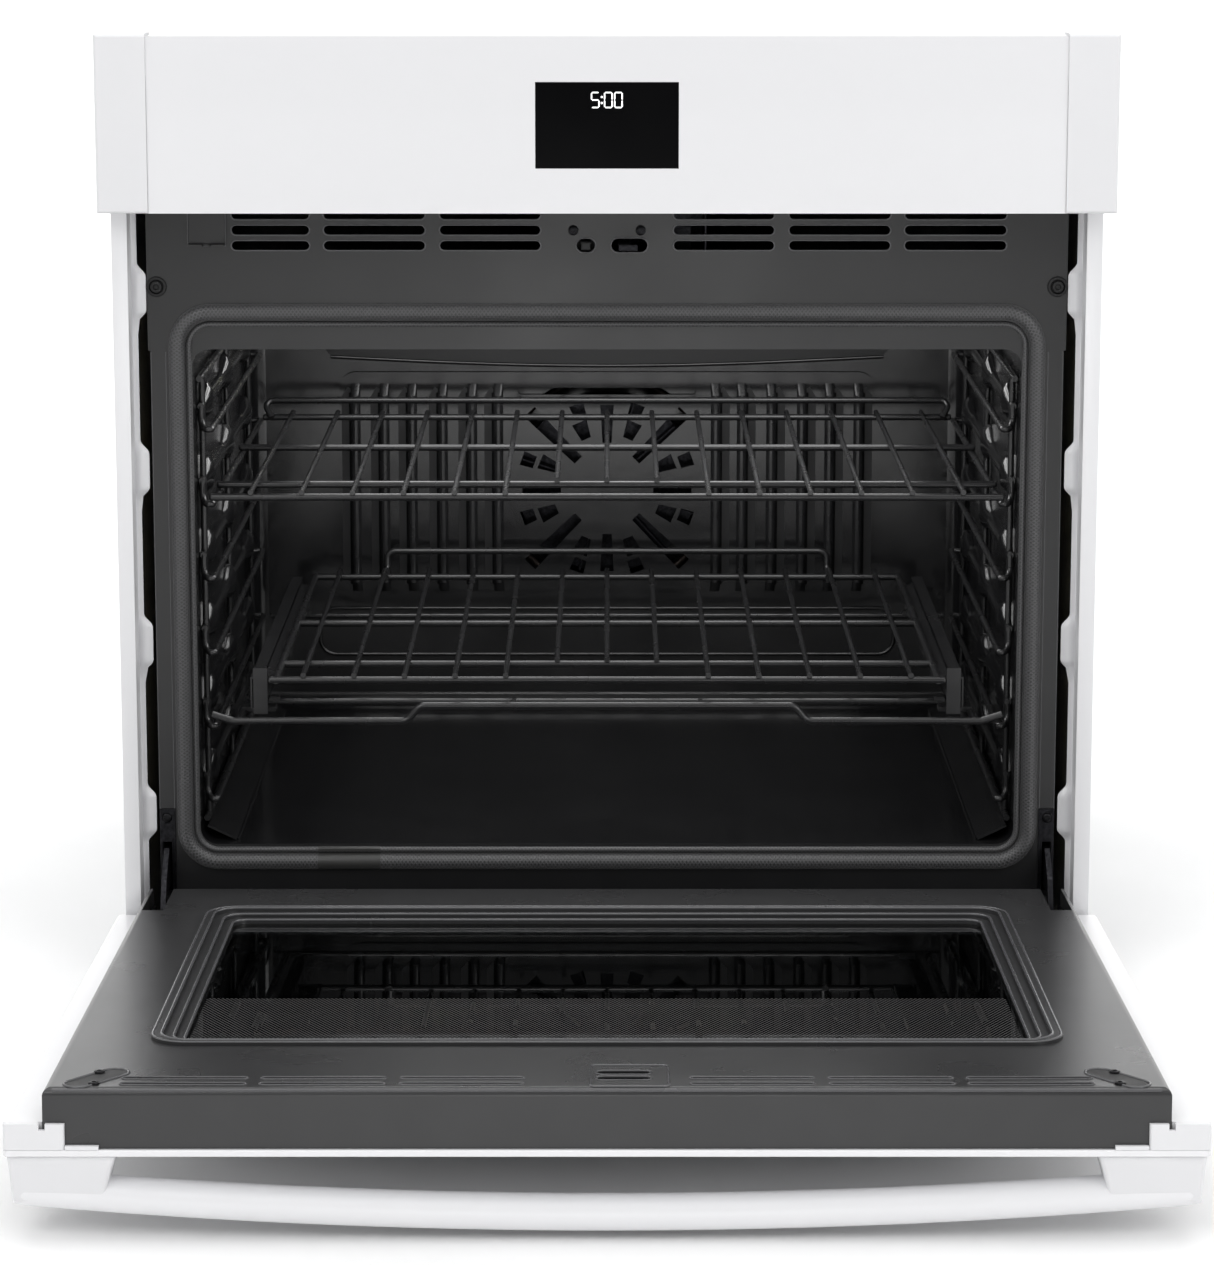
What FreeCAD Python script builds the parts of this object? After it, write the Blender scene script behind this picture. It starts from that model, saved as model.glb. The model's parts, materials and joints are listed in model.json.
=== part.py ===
"""Built-in single wall oven, 30 inch class, with its door open.

Frame: X to the right, Y into the oven (the front faces -Y), Z up, millimetres.
Y = 0 is the face of the cabinet, Z = 0 the underside of the base pan, X = 0 the middle.
The door is modelled shut and then turned down about its hinge line to the open rest pose.
"""

import FreeCAD, Part
import math
import os

from FreeCAD import Vector

# ---- driving dimensions -------------------------------------------------------------
PANEL_HALF = 377.85  # half the width of the control panel and of the door front
TOP = 727.0  # top of the control panel
PANEL_LOW = 594.6  # underside of the control panel
PANEL_FRONT = -30.5  # front of the control panel glass
CAP_W = 38.0  # width of a panel end cap
CASE_HALF = 359.0  # half the width of the case that slides into the cabinet
CASE_TOP = 686.0
CASE_BACK = 557.0
SHEET = 1.2  # usual sheet thickness

FRAME_Y = 22.5  # front of the dark front frame
FRAME_T = 1.5
FRAME_HALF = 348.3  # above the step
FRAME_HALF_LOW = 346.4  # below the step
FRAME_STEP_Z = 485.0
FRAME_LOW = 30.0
FRAME_TOP = 684.0

CAV_HALF = 315.5  # cavity, inside
CAV_LOW = 98.5
CAV_TOP = 525.0
CAV_BACK = 489.5
OPEN_TOP = 486.0  # top of the cavity's mouth

GASKET_OUT_HALF = 332.7
GASKET_IN_HALF = 315.1
GASKET_LOW = 79.1
GASKET_TOP = 520.7
GASKET_W = 17.6
GASKET_R = 32.0
GASKET_FRONT = 14.6

DOOR_LOW = 26.5  # lower edge of the shut door
DOOR_H = 565.0
DOOR_Y = -29.1  # outer face of the shut door
GLASS_T = 4.3
RAIL_DEPTH = 21.0  # outer face to the inner face of the white side rails
LINER_HALF = 353.2
DOOR_DEPTH = 43.0  # outer face to the liner's face
HINGE_Y = -18.5
HINGE_Z = 40.0
OPEN_DEG = 87.05
HINGE_X = 341.0  # middle of a hinge arm
PIN_R = 3.0
PIN_CLEAR = 0.05

WINDOW_HALF = 300.0  # outside of the window bead
WINDOW_S0 = 72.5  # from the door's lower edge
WINDOW_S1 = 461.0

HANDLE_S = 545.0
HANDLE_GAP = 30.0  # clear gap at the middle of the handle
HANDLE_THICK = 23.0
HANDLE_BOW = 16.5

FAN_Z = 298.0
ROD_R = 2.1
WIRE_R = 2.8
ROD_PITCH = 39.1
RUNG_R = 2.5
RUNG_LOW = 130.2
RUNG_PITCH = 58.3
RUNG_COUNT = 6
RUNG_X = 303.5
TOP_RACK_Z = 369.0
LOW_RACK_Z = 227.0

LATCH_X = 16.9
LATCH_Z = 565.2
LATCH_PIVOT_Y = 50.0

os.makedirs("parts", exist_ok=True)
X_AXIS = Vector(1, 0, 0)
Y_AXIS = Vector(0, 1, 0)
Z_AXIS = Vector(0, 0, 1)


# ---- helpers ------------------------------------------------------------------------
def box(x0, y0, z0, x1, y1, z1):
    return Part.makeBox(x1 - x0, y1 - y0, z1 - z0, Vector(x0, y0, z0))


def cyl(r, length, x, y, z, axis=Y_AXIS):
    return Part.makeCylinder(r, length, Vector(x, y, z), axis)


def fuse(shapes):
    return shapes[0].multiFuse(shapes[1:]).removeSplitter()


def cut(shape, tools):
    return shape.cut(Part.makeCompound(tools))


def fillet_where(shape, radius, test):
    """Rounds the straight edges whose middle passes the test."""
    edges = [e for e in shape.Edges if test(e)]
    return shape.makeFillet(radius, edges)


def along(edge, axis):
    """True for a straight edge that runs along the axis."""
    if not isinstance(edge.Curve, Part.Line):
        return False
    d = edge.Vertexes[1].Point - edge.Vertexes[0].Point
    return abs(abs(d.dot(axis)) - d.Length) < 1e-6 * max(1.0, d.Length)


def plate(x0, x1, z0, z1, r, y0, y1):
    """Rectangle with round corners in the XZ plane, y0 to y1 thick."""
    body = box(x0, y0, z0, x1, y1, z1)
    return body.makeFillet(r, [e for e in body.Edges if along(e, Y_AXIS)])


def slot(cx, cz, length, height, y0, y1):
    """Slot with round ends, along X, through y0 to y1."""
    r = height / 2
    half = length / 2 - r
    ends = [cyl(r, y1 - y0, cx - half, y0, cz), cyl(r, y1 - y0, cx + half, y0, cz)]
    return fuse([box(cx - half, y0, cz - r, cx + half, y1, cz + r)] + ends)


def prism(points, normal):
    """Polygon through the points, pushed along the normal."""
    wire = Part.makePolygon(points + [points[0]])
    return Part.Face(wire).extrude(normal)


def rod(points, radius, bend=8.0):
    """Round bar along straight runs joined by tangent arcs."""
    pts = [Vector(*p) for p in points]
    edges = []
    start = pts[0]
    for before, corner, after in zip(pts, pts[1:], pts[2:]):
        u = (before - corner).normalize()
        v = (after - corner).normalize()
        half = u.getAngle(v) / 2
        reach = bend / math.tan(half)
        limit = 0.48 * min((before - corner).Length, (after - corner).Length)
        reach = min(reach, limit)
        radius_here = reach * math.tan(half)
        p = corner + u * reach
        q = corner + v * reach
        middle_dir = (u + v).normalize()
        centre = corner + middle_dir * (radius_here / math.sin(half))
        middle = centre - middle_dir * radius_here
        if (p - start).Length > 1e-6:
            edges.append(Part.LineSegment(start, p).toShape())
        edges.append(Part.Arc(p, middle, q).toShape())
        start = q
    edges.append(Part.LineSegment(start, pts[-1]).toShape())
    path = Part.Wire(edges)
    direction = (pts[1] - pts[0]).normalize()
    profile = Part.Wire(Part.Circle(pts[0], direction, radius).toShape())
    tube = path.makePipeShell([profile], True, False)
    return tube


def mirror_x(shape):
    return shape.mirror(Vector(0, 0, 0), X_AXIS)


def both(shape):
    return [shape, mirror_x(shape)]


def opened(shape):
    """Turns a piece of the shut door down to the open rest pose."""
    turned = shape.copy()
    turned.rotate(Vector(0, HINGE_Y, HINGE_Z), X_AXIS, OPEN_DEG)
    return turned


def door_box(x0, s0, t0, x1, s1, t1):
    """Box in the shut door: s up from its lower edge, t in from its outer face."""
    return box(x0, DOOR_Y + t0, DOOR_LOW + s0, x1, DOOR_Y + t1, DOOR_LOW + s1)


def save(name, shape):
    solids = shape.Solids
    assert solids and all(s.isValid() and s.Volume > 0 for s in solids), name
    out = solids[0] if len(solids) == 1 else Part.makeCompound(solids)
    out.exportStep("parts/" + name + ".step")
    print(f"{name:26s} solids {len(solids):3d}  {out.Volume / 1000:9.2f} cm3")


def save_pair(name, right_shape):
    save(name + "_right", right_shape)
    save(name + "_left", mirror_x(right_shape))


# ---- case ---------------------------------------------------------------------------
GLAND_X = 270.0
GLAND_Z = 645.0
GLAND_R = 11.1  # half inch conduit knock-out
CASE_SCREW_R = 2.0


def base_pan():
    pan = box(-CASE_HALF, -8, 0, CASE_HALF, CASE_BACK, 1.5)
    lip = box(-CASE_HALF + 1.4, CASE_BACK - 1.2, 1.5, CASE_HALF - 1.4, CASE_BACK, 18)
    ribs = [box(x - 6, 60, 1.5, x + 6, 520, 5) for x in (-240, -80, 80, 240)]
    return fuse([pan, lip] + ribs)


def outer_case():
    outer = box(-CASE_HALF, 24.5, 1.5, CASE_HALF, CASE_BACK, CASE_TOP)
    inner = box(-CASE_HALF + 1, 20, 0, CASE_HALF - 1, CASE_BACK + 5, CASE_TOP - 1)
    louvres = []
    for x in range(-250, 251, 50):
        louvres.append(box(x - 15, 470, CASE_TOP - 3, x + 15, 476, CASE_TOP + 1))
        louvres.append(box(x - 15, 486, CASE_TOP - 3, x + 15, 492, CASE_TOP + 1))
    for side in (-1, 1):
        for z in range(600, 661, 12):
            x = side * CASE_HALF
            louvres.append(box(x - 3, 380, z, x + 3, 500, z + 4))
    return cut(outer.cut(inner), louvres)


def rear_cover():
    back = box(-CASE_HALF, CASE_BACK + 0.1, 1.5, CASE_HALF, CASE_BACK + 1.3, CASE_TOP)
    holes = [cyl(GLAND_R + 2.0, 4, GLAND_X, CASE_BACK - 1, GLAND_Z)]
    for z in range(60, 181, 15):
        holes.append(slot(-200, z, 120, 5, CASE_BACK - 1, CASE_BACK + 3))
        holes.append(slot(200, z, 120, 5, CASE_BACK - 1, CASE_BACK + 3))
    for x in (-340, 0, 340):
        for z in (20, 340, 670):
            holes.append(cyl(CASE_SCREW_R + 0.2, 4, x, CASE_BACK - 1, z))
    return cut(back, holes)


def case_screws():
    screws = []
    for x in (-340, 0, 340):
        for z in (20, 340, 670):
            head = cyl(4.5, 2.4, x, CASE_BACK + 1.4, z)
            shank = cyl(CASE_SCREW_R, 7, x, CASE_BACK - 5.5, z)
            screws.append(fuse([head, shank]))
    return Part.makeCompound(screws)


def terminal_box():
    outer = box(215, 470, 612, 325, CASE_BACK - 0.3, 680)
    inner = box(216.2, 471.2, 613.2, 323.8, CASE_BACK + 3, 678.8)
    return outer.cut(inner)


def cable_gland():
    body = cyl(GLAND_R + 1.6, 16, GLAND_X, CASE_BACK - 7, GLAND_Z)
    flange = cyl(GLAND_R + 5, 2.5, GLAND_X, CASE_BACK + 1.5, GLAND_Z)
    bore = cyl(GLAND_R, 30, GLAND_X, CASE_BACK - 12, GLAND_Z)
    return fuse([body, flange]).cut(bore)


# ---- front frame, trims -------------------------------------------------------------
VENT_H = 6.7
VENT_ROWS = (565.1, 576.8, 588.5)
VENT_SPANS = ((50.5, 126.0), (137.7, 213.7), (225.0, 301.4))
LEFT_OUTER_SPAN = (225.0, 283.3)  # the left outermost slots stop short of the bracket


def vent_slots(y0, y1):
    slots = []
    for z in VENT_ROWS:
        for a, b in VENT_SPANS:
            slots.append(slot((a + b) / 2, z, b - a, VENT_H, y0, y1))
        for a, b in VENT_SPANS[:2] + (LEFT_OUTER_SPAN,):
            slots.append(slot(-(a + b) / 2, z, b - a, VENT_H, y0, y1))
    return slots


def front_frame():
    y0 = FRAME_Y
    y1 = FRAME_Y + FRAME_T
    low = box(-FRAME_HALF_LOW, y0, FRAME_LOW, FRAME_HALF_LOW, y1, FRAME_STEP_Z)
    high = box(-FRAME_HALF, y0, FRAME_STEP_Z, FRAME_HALF, y1, FRAME_TOP)
    body = [low, high]
    for side in (-1, 1):
        a, b = sorted((side * FRAME_HALF_LOW, side * (FRAME_HALF_LOW - FRAME_T)))
        body.append(box(a, y1, FRAME_LOW, b, y1 + 18, FRAME_TOP))
    tools = vent_slots(y0 - 1, y1 + 1)
    tools.append(plate(-CAV_HALF, CAV_HALF, CAV_LOW, OPEN_TOP, 14, y0 - 1, y1 + 1))
    tools.append(slot(-16.0, LATCH_Z, 13.6, 9.9, y0 - 1, y1 + 1))
    tools.append(slot(LATCH_X, LATCH_Z, 27.0, 10.0, y0 - 1, y1 + 1))
    for side in (-1, 1):
        x = side * HINGE_X
        tools.append(box(x - 4, y0 - 1, 60, x + 4, y1 + 1, 102))
        tools.append(cyl(2.6, 4, x, y0 - 1, 120))
        tools.append(cyl(3.2, 4, x, y0 - 1, 533.8))
        tools.append(cyl(2.2, 4, side * 25.4, y0 - 1, 576.6))
    return cut(fuse(body), tools)


def door_gasket():
    """D-shaped seal round the mouth of the cavity, in its squeezed height."""
    y0 = GASKET_FRONT
    outer = plate(
        -GASKET_OUT_HALF, GASKET_OUT_HALF, GASKET_LOW, GASKET_TOP, GASKET_R, y0, FRAME_Y
    )
    inner = plate(
        -GASKET_IN_HALF,
        GASKET_IN_HALF,
        GASKET_LOW + GASKET_W,
        GASKET_TOP - GASKET_W,
        GASKET_R - GASKET_W + 2,
        y0 - 1,
        FRAME_Y + 1,
    )
    ring = outer.cut(inner)
    front = [e for e in ring.Edges if all(abs(v.Y - y0) < 1e-6 for v in e.Vertexes)]
    return ring.makeFillet(4.0, front)


def gasket_splice(gasket):
    sleeve = box(
        -223.8, GASKET_FRONT - 0.4, GASKET_LOW - 0.5, -175.7, FRAME_Y, GASKET_LOW + GASKET_W + 0.5
    )
    sleeve = fillet_where(sleeve, 3.5, lambda e: along(e, X_AXIS) and e.CenterOfMass.y < 18)
    return sleeve.cut(gasket)


TRIM_IN = 359.5
TRIM_OUT = 371.5
TRIM_LOW = 3.0
TAB_Z = (124.0, 258.0, 393.0, 529.0)
CABINET_SCREW_R = 2.4
CABINET_SCREW_Y = 11.0
CABINET_SCREW_Z = (191.0, 461.0)


def side_trim():
    front = box(TRIM_IN, -1, TRIM_LOW, TRIM_OUT, 0, 700)
    wall = box(TRIM_IN, -1, TRIM_LOW, TRIM_IN + 1, FRAME_Y + 1, 700)
    rear = box(354.5, FRAME_Y, TRIM_LOW, TRIM_IN + 1, FRAME_Y + 1, 700)
    tabs = []
    for z in TAB_Z:
        points = [(355, z - 15), (348.9, z - 11), (348.9, z + 11), (355, z + 15)]
        tab = prism([Vector(x, FRAME_Y, zz) for x, zz in points], Vector(0, 1, 0))
        tabs.append(tab)
    body = fuse([front, wall, rear] + tabs)
    holes = []
    for z in CABINET_SCREW_Z:
        holes.append(cyl(CABINET_SCREW_R, 4, TRIM_IN - 1, CABINET_SCREW_Y, z, X_AXIS))
    return cut(body, holes)


def bottom_trim():
    strip = box(-TRIM_IN + 0.3, -1, TRIM_LOW, TRIM_IN - 0.3, 0, 21.5)
    foot = box(-TRIM_IN + 0.3, -1, 1.5, TRIM_IN - 0.3, 12, 2.7)
    stem = box(-TRIM_IN + 0.3, -1, 1.5, TRIM_IN - 0.3, 0, TRIM_LOW + 1)
    holes = [slot(x, 12.5, 60, 5, -2, 1) for x in range(-300, 301, 75)]
    return cut(fuse([strip, foot, stem]), holes)


def frame_bumpers():
    pieces = []
    for x in (-HINGE_X, HINGE_X):
        ring = cyl(7.7, 2.2, x, FRAME_Y - 2.2, 533.8).cut(cyl(4.6, 4, x, FRAME_Y - 3, 533.8))
        ring = ring.makeFillet(0.8, [e for e in ring.Edges if e.CenterOfMass.y < FRAME_Y - 2])
        core = cyl(4.4, 3.4, x, FRAME_Y - 3.6, 533.8)
        stem = cyl(3.0, 8, x, FRAME_Y - 1, 533.8)
        core = fuse([core, stem])
        base = cyl(4.6, 0.2, x, FRAME_Y - 0.2, 533.8)
        pieces.append(fuse([ring, core, base]))
    return Part.makeCompound(pieces)


def screw(x, z, head_r, shank_r, y, head_h=1.8, length=9.0):
    """Pan head screw that points into the oven, with a cross recess."""
    head = cyl(head_r, head_h, x, y - head_h, z)
    head = head.makeFillet(head_h * 0.45, [e for e in head.Edges if e.CenterOfMass.y < y - 1])
    shank = cyl(shank_r, length, x, y - 0.5, z)
    arm = head_r * 0.62
    recess = [
        box(x - arm, y - head_h - 1, z - 0.4, x + arm, y - head_h + 0.9, z + 0.4),
        box(x - 0.4, y - head_h - 1, z - arm, x + 0.4, y - head_h + 0.9, z + arm),
    ]
    return cut(fuse([head, shank]), recess)


def frame_screws():
    made = [screw(side * 25.4, 576.6, 3.7, 2.1, FRAME_Y) for side in (-1, 1)]
    made += [screw(side * HINGE_X, 120, 4.0, 2.4, FRAME_Y - 1.5) for side in (-1, 1)]
    return Part.makeCompound(made)


# ---- cavity -------------------------------------------------------------------------
RECESS_R = 101.5
CONV_R = 96.0  # ring of the convection heater
CONV_LEG_X = 20.0
CONV_LEG_Z = FAN_Z - math.sqrt(CONV_R ** 2 - CONV_LEG_X ** 2)
RECESS_BACK = 525.5
SHAFT_R = 4.0
LAMP_X = -250.0
LAMP_Z = 452.0
LAMP_R = 26.0
PROBE_X = 205.0
PROBE_Z = 455.0


def rounded_box(x0, y0, z0, x1, y1, z1, r):
    """Box with its long edges and its back edges rounded, and a plain front."""
    body = box(x0, y0, z0, x1, y1, z1)
    return body.makeFillet(r, [e for e in body.Edges if e.CenterOfMass.y > y0 + 1e-3])


def cavity_liner():
    front = FRAME_Y + FRAME_T + 0.2
    outer = rounded_box(
        -CAV_HALF - SHEET, front, CAV_LOW - SHEET, CAV_HALF + SHEET,
        CAV_BACK + SHEET, CAV_TOP + SHEET, 14 + SHEET,
    )
    inner = rounded_box(
        -CAV_HALF, front + SHEET, CAV_LOW, CAV_HALF, CAV_BACK, CAV_TOP, 14
    )
    mouth = plate(-CAV_HALF, CAV_HALF, CAV_LOW, OPEN_TOP, 14, front - 1, front + 2)
    body = outer.cut(inner).cut(mouth)
    pot_depth = RECESS_BACK - CAV_BACK
    pot_out = cyl(RECESS_R + SHEET, pot_depth + SHEET - 0.3, 0, CAV_BACK + 0.3, FAN_Z)
    pot_in = cyl(RECESS_R, pot_depth + 1, 0, CAV_BACK - 1, FAN_Z)
    body = body.fuse(pot_out).cut(pot_in)
    holes = [
        cyl(SHAFT_R + 2, 8, 0, RECESS_BACK - 4, FAN_Z),
        cyl(LAMP_R - 2, 8, LAMP_X, CAV_BACK - 3, LAMP_Z),
        cyl(3.2, 8, PROBE_X, CAV_BACK - 3, PROBE_Z),
    ]
    for side in (-1, 1):
        holes.append(cyl(4.2, 8, side * 40, CAV_BACK - 3, 505))
        holes.append(cyl(4.2, 8, side * CONV_LEG_X, RECESS_BACK - 4, CONV_LEG_Z))
    return cut(body, holes).removeSplitter()




def sector(r0, r1, deg, half_w0, half_w1, y0, y1):
    """Tapered bar cut-out that points away from the fan's middle."""
    a = math.radians(deg)
    out = Vector(math.sin(a), 0, math.cos(a))
    side = Vector(math.cos(a), 0, -math.sin(a))
    middle = Vector(0, y0, FAN_Z)
    points = [
        middle + out * r0 - side * half_w0,
        middle + out * r0 + side * half_w0,
        middle + out * r1 + side * half_w1,
        middle + out * r1 - side * half_w1,
    ]
    return prism(points, Vector(0, y1 - y0, 0))


RIB_X = (97.0, 120.0, 146.0, 173.0, 197.5, 223.0)


def convection_cover():
    """Punched cover over the fan, with upright stamped ribs each side."""
    y0 = CAV_BACK - 3.6
    y1 = y0 + 1.4
    body = [plate(-236, 236, 196, 402, 14, y0, y1)]
    for side in (-1, 1):
        x = side * 222
        body.append(box(x - 8, y1, 205, x + 8, CAV_BACK, 225))
        body.append(box(x - 8, y1, 372, x + 8, CAV_BACK, 392))
    for x in RIB_X:
        for side in (-1, 1):
            rib = cyl(5.2, 172, side * x, y0 + 1.2, 212, Z_AXIS)
            body.append(rib.common(box(-300, y0 - 6, 200, 300, y1, 400)))
    cover = fuse(body)
    holes = []
    for deg in (45, 135, 225, 315):
        holes.append(sector(36, 97, deg, 4.5, 6.5, y0 - 8, y1 + 2))
    for deg in (0, 90, 180, 270):
        holes.append(sector(41, 75, deg, 4.0, 6.0, y0 - 8, y1 + 2))
    for deg in range(0, 360, 90):
        for turn in (-1, 1):
            holes.append(sector(48, 64, deg + turn * 22.5, 4.5, 7.0, y0 - 8, y1 + 2))
            holes.append(sector(68, 80, deg + turn * 20.0, 5.5, 6.5, y0 - 8, y1 + 2))
    holes.append(slot(0, 385, 157, 6, y0 - 8, y1 + 2))
    return cut(cover, holes)


def convection_element():
    ring = Part.makeTorus(CONV_R, 3.2, Vector(0, 506, FAN_Z), Y_AXIS)
    gap = box(-17, 495, FAN_Z - CONV_R - 12, 17, 517, FAN_Z - CONV_R + 12)
    ring = ring.cut(gap)
    legs = [cyl(3.1, 29, side * CONV_LEG_X, 505, CONV_LEG_Z) for side in (-1, 1)]
    return fuse([ring] + legs)


def convection_fan():
    hub = cyl(14, 16, 0, 497, FAN_Z)
    shaft = cyl(SHAFT_R, 46, 0, 498, FAN_Z)
    disc = cyl(80, 1.2, 0, 511, FAN_Z)
    pieces = [hub, shaft, disc]
    for n in range(12):
        blade = box(-0.7, 496, 30, 0.7, 511.6, 80)
        blade.rotate(Vector(0, 0, 0), Y_AXIS, 18)
        blade.rotate(Vector(0, 0, 0), Y_AXIS, 30 * n)
        blade.translate(Vector(0, 0, FAN_Z))
        pieces.append(blade)
    return fuse(pieces)


def fan_motor():
    body = cyl(34, 18, 0, 531, FAN_Z)
    boss = cyl(12, 6, 0, 527.2, FAN_Z)
    strap = box(-48, 529, FAN_Z - 16, 48, 531, FAN_Z + 16)
    bore = cyl(SHAFT_R + PIN_CLEAR, 40, 0, 520, FAN_Z)
    return fuse([body, boss, strap]).cut(bore)


def broil_element():
    """Loop heater under the ceiling, its two legs through the back wall."""
    z = 505
    half = [(40, CAV_BACK + 24, z), (40, 430, z), (225, 430, z), (225, 90, z)]
    half += [(130, 90, z), (130, 360, z), (45, 360, z), (45, 120, z)]
    mirrored = [(-x, y, zz) for x, y, zz in reversed(half)]
    return rod(half + mirrored, 3.5, 22)


def bake_element():
    """Hidden heater between the cavity floor and the insulation."""
    z = 86
    half = [(30, 478, z), (30, 440, z), (240, 440, z), (240, 110, z)]
    half += [(150, 110, z), (150, 380, z), (60, 380, z), (60, 120, z)]
    mirrored = [(-x, y, zz) for x, y, zz in reversed(half)]
    return rod(half + mirrored, 3.5, 24)


def insulation():
    outer = box(-346, 80, 46, 346, 487, 551.5)
    inner = box(-CAV_HALF - 3, 70, 74, CAV_HALF + 3, 500, CAV_TOP + 3)
    return outer.cut(inner)


def oven_lamp():
    cup = cyl(LAMP_R, 30, LAMP_X, CAV_BACK + SHEET + 0.1, LAMP_Z)
    hollow = cyl(LAMP_R - 1.5, 40, LAMP_X, CAV_BACK - 8, LAMP_Z)
    bulb = cyl(6, 16, LAMP_X, CAV_BACK + 12, LAMP_Z)
    seat = cyl(9, 8, LAMP_X, CAV_BACK + 24, LAMP_Z)
    cap = cyl(LAMP_R, 1.5, LAMP_X, CAV_BACK + 30, LAMP_Z)
    return fuse([cup.cut(hollow), cap, seat, bulb])


def lamp_lens():
    y0 = CAV_BACK - 13
    dome = cyl(LAMP_R + 3, 12.8, LAMP_X, y0, LAMP_Z)
    dome = dome.makeFillet(6, [e for e in dome.Edges if e.CenterOfMass.y < y0 + 1])
    hollow = cyl(LAMP_R, 11, LAMP_X, y0 + 3, LAMP_Z)
    return dome.cut(hollow)


def temperature_probe():
    stem = cyl(2.6, 110, PROBE_X, CAV_BACK - 90, PROBE_Z)
    tip = Part.makeSphere(2.6, Vector(PROBE_X, CAV_BACK - 90, PROBE_Z))
    ear = box(PROBE_X - 14, CAV_BACK - 1.4, PROBE_Z - 8, PROBE_X + 14, CAV_BACK - 0.2, PROBE_Z + 8)
    return fuse([stem, tip, ear])


def rung_heights():
    return [RUNG_LOW + RUNG_PITCH * n for n in range(RUNG_COUNT)]


def ladder_rack(side):
    """Wire side frame: three posts, a U-shaped rung at each rack level and two end rails."""
    post_x = side * (CAV_HALF - 3.2)
    rung_x = side * RUNG_X
    pieces = []
    for y in (62, 250, 440):
        pieces.append(cyl(RUNG_R, 350, post_x, y, 112, Z_AXIS))
    for z in (113.5, 460.0):
        pieces.append(cyl(RUNG_R, 410, post_x, 46, z))
    for z in rung_heights():
        loop = [(post_x, 54, z + 16), (post_x, 54, z), (rung_x, 30, z), (rung_x, 462, z)]
        loop += [(post_x, 456, z)]
        pieces.append(rod(loop, RUNG_R, 7))
        stop = [(post_x, 62, z + 16), (post_x, 52, z + 16)]
        pieces.append(rod_straight(stop, RUNG_R))
    return fuse(pieces)


def rod_straight(points, radius):
    a, b = Vector(*points[0]), Vector(*points[1])
    return Part.makeCylinder(radius, (b - a).Length, a, b - a)


def cross_wire(half, y, z, radius=WIRE_R):
    wire = cyl(radius, 2 * half, -half, y, z, X_AXIS)
    return wire.makeFillet(radius * 0.6, [e for e in wire.Edges if abs(e.CenterOfMass.x) > half - 0.1])


RACK_FRONT = 39.5


def top_rack():
    z = TOP_RACK_Z
    rod_z = z + WIRE_R + ROD_R - 0.8
    pieces = []
    for y in (RACK_FRONT, RACK_FRONT + 57, 276):
        pieces.append(cross_wire(305.5, y, z))
    pieces.append(cross_wire(300, 440, z))
    stop = [(-292, 436, z), (-300, 446, z + 14), (300, 446, z + 14), (292, 436, z)]
    pieces.append(rod(stop, WIRE_R, 6))
    for n in range(-7, 8):
        start = RACK_FRONT + 57 if abs(n) <= 1 else RACK_FRONT
        pieces.append(cyl(ROD_R, 443 - start + 3, n * ROD_PITCH, start - 3, rod_z))
    return fuse(pieces)


def lower_rack():
    z = LOW_RACK_Z
    rod_z = z + WIRE_R + ROD_R - 0.8
    pieces = [cross_wire(262, RACK_FRONT - 8, z), cross_wire(257, RACK_FRONT + 49, z)]
    pieces += [cross_wire(257, 243, z), cross_wire(257, 440, z)]
    for side in (-1, 1):
        pieces.append(cyl(WIRE_R, 416, side * 256, RACK_FRONT - 10, z))
    loop = [(-194, 437, z), (-194, 458, z + 2), (-194, 462, z + 19)]
    loop += [(194, 462, z + 19), (194, 458, z + 2), (194, 437, z)]
    pieces.append(rod(loop, WIRE_R, 7))
    for n in range(-6, 7):
        first = RACK_FRONT + 49 if abs(n) <= 1 else RACK_FRONT - 8
        pieces.append(cyl(ROD_R, 452 - first + 3, n * ROD_PITCH, first - 3, rod_z))
    return fuse(pieces)


def glide_slide():
    """Moving half of a glide, with its upright front plate and a rear rack hook."""
    bar = box(266.6, 43.5, 202.2, 274.4, 440, 221.8)
    front = box(263.5, 41.5, 197.6, 274.4, 43.6, 234.0)
    shelf = box(254.0, 60, 220.0, 267, 420, 224.1)
    return fuse([bar, front, shelf])


def glide_rail():
    web = box(276.0, 50, 200.4, 277.4, 452, 223.6)
    low = box(266, 50, 199.0, 277.4, 452, 200.4)
    high = box(268, 50, 223.6, 277.4, 452, 225.0)
    return fuse([web, low, high])


def glide_frame():
    """Wire carrier that hangs on the rungs and holds the two glides."""
    z = RUNG_LOW + RUNG_PITCH + RUNG_R + 2.9
    front = [(-306, 34.5, z + 5), (-290, 34.5, z), (-155, 34.5, z), (-145, 34.5, z + 12)]
    front += [(145, 34.5, z + 12), (155, 34.5, z), (290, 34.5, z), (306, 34.5, z + 5)]
    pieces = [rod(front, 2.9, 9)]
    pieces.append(cyl(2.5, 552, -276, 99, z + 0.5, X_AXIS))
    pieces.append(cyl(2.5, 590, -295, 430, z + 0.5, X_AXIS))
    for side in (-1, 1):
        strut = [(side * 73.5, 34.5, z + 12), (side * 73.5, 99, z + 0.5)]
        pieces.append(rod_straight(strut, 2.5))
        pieces.append(cyl(2.5, 400, side * 284, 33, z + 1.0))
        pieces.append(box(side * 272 - 13, 60, z + 1.5, side * 272 + 13, 75, 199.0))
        pieces.append(box(side * 272 - 13, 96, z + 1.5, side * 272 + 13, 102, 199.0))
        pieces.append(box(side * 272 - 13, 427, z + 1.5, side * 272 + 13, 433, 199.0))
    return fuse(pieces)


# ---- control panel ------------------------------------------------------------------
DISPLAY_HALF = 53.0
DISPLAY_LOW = 627.9
DISPLAY_TOP = 691.7


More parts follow.
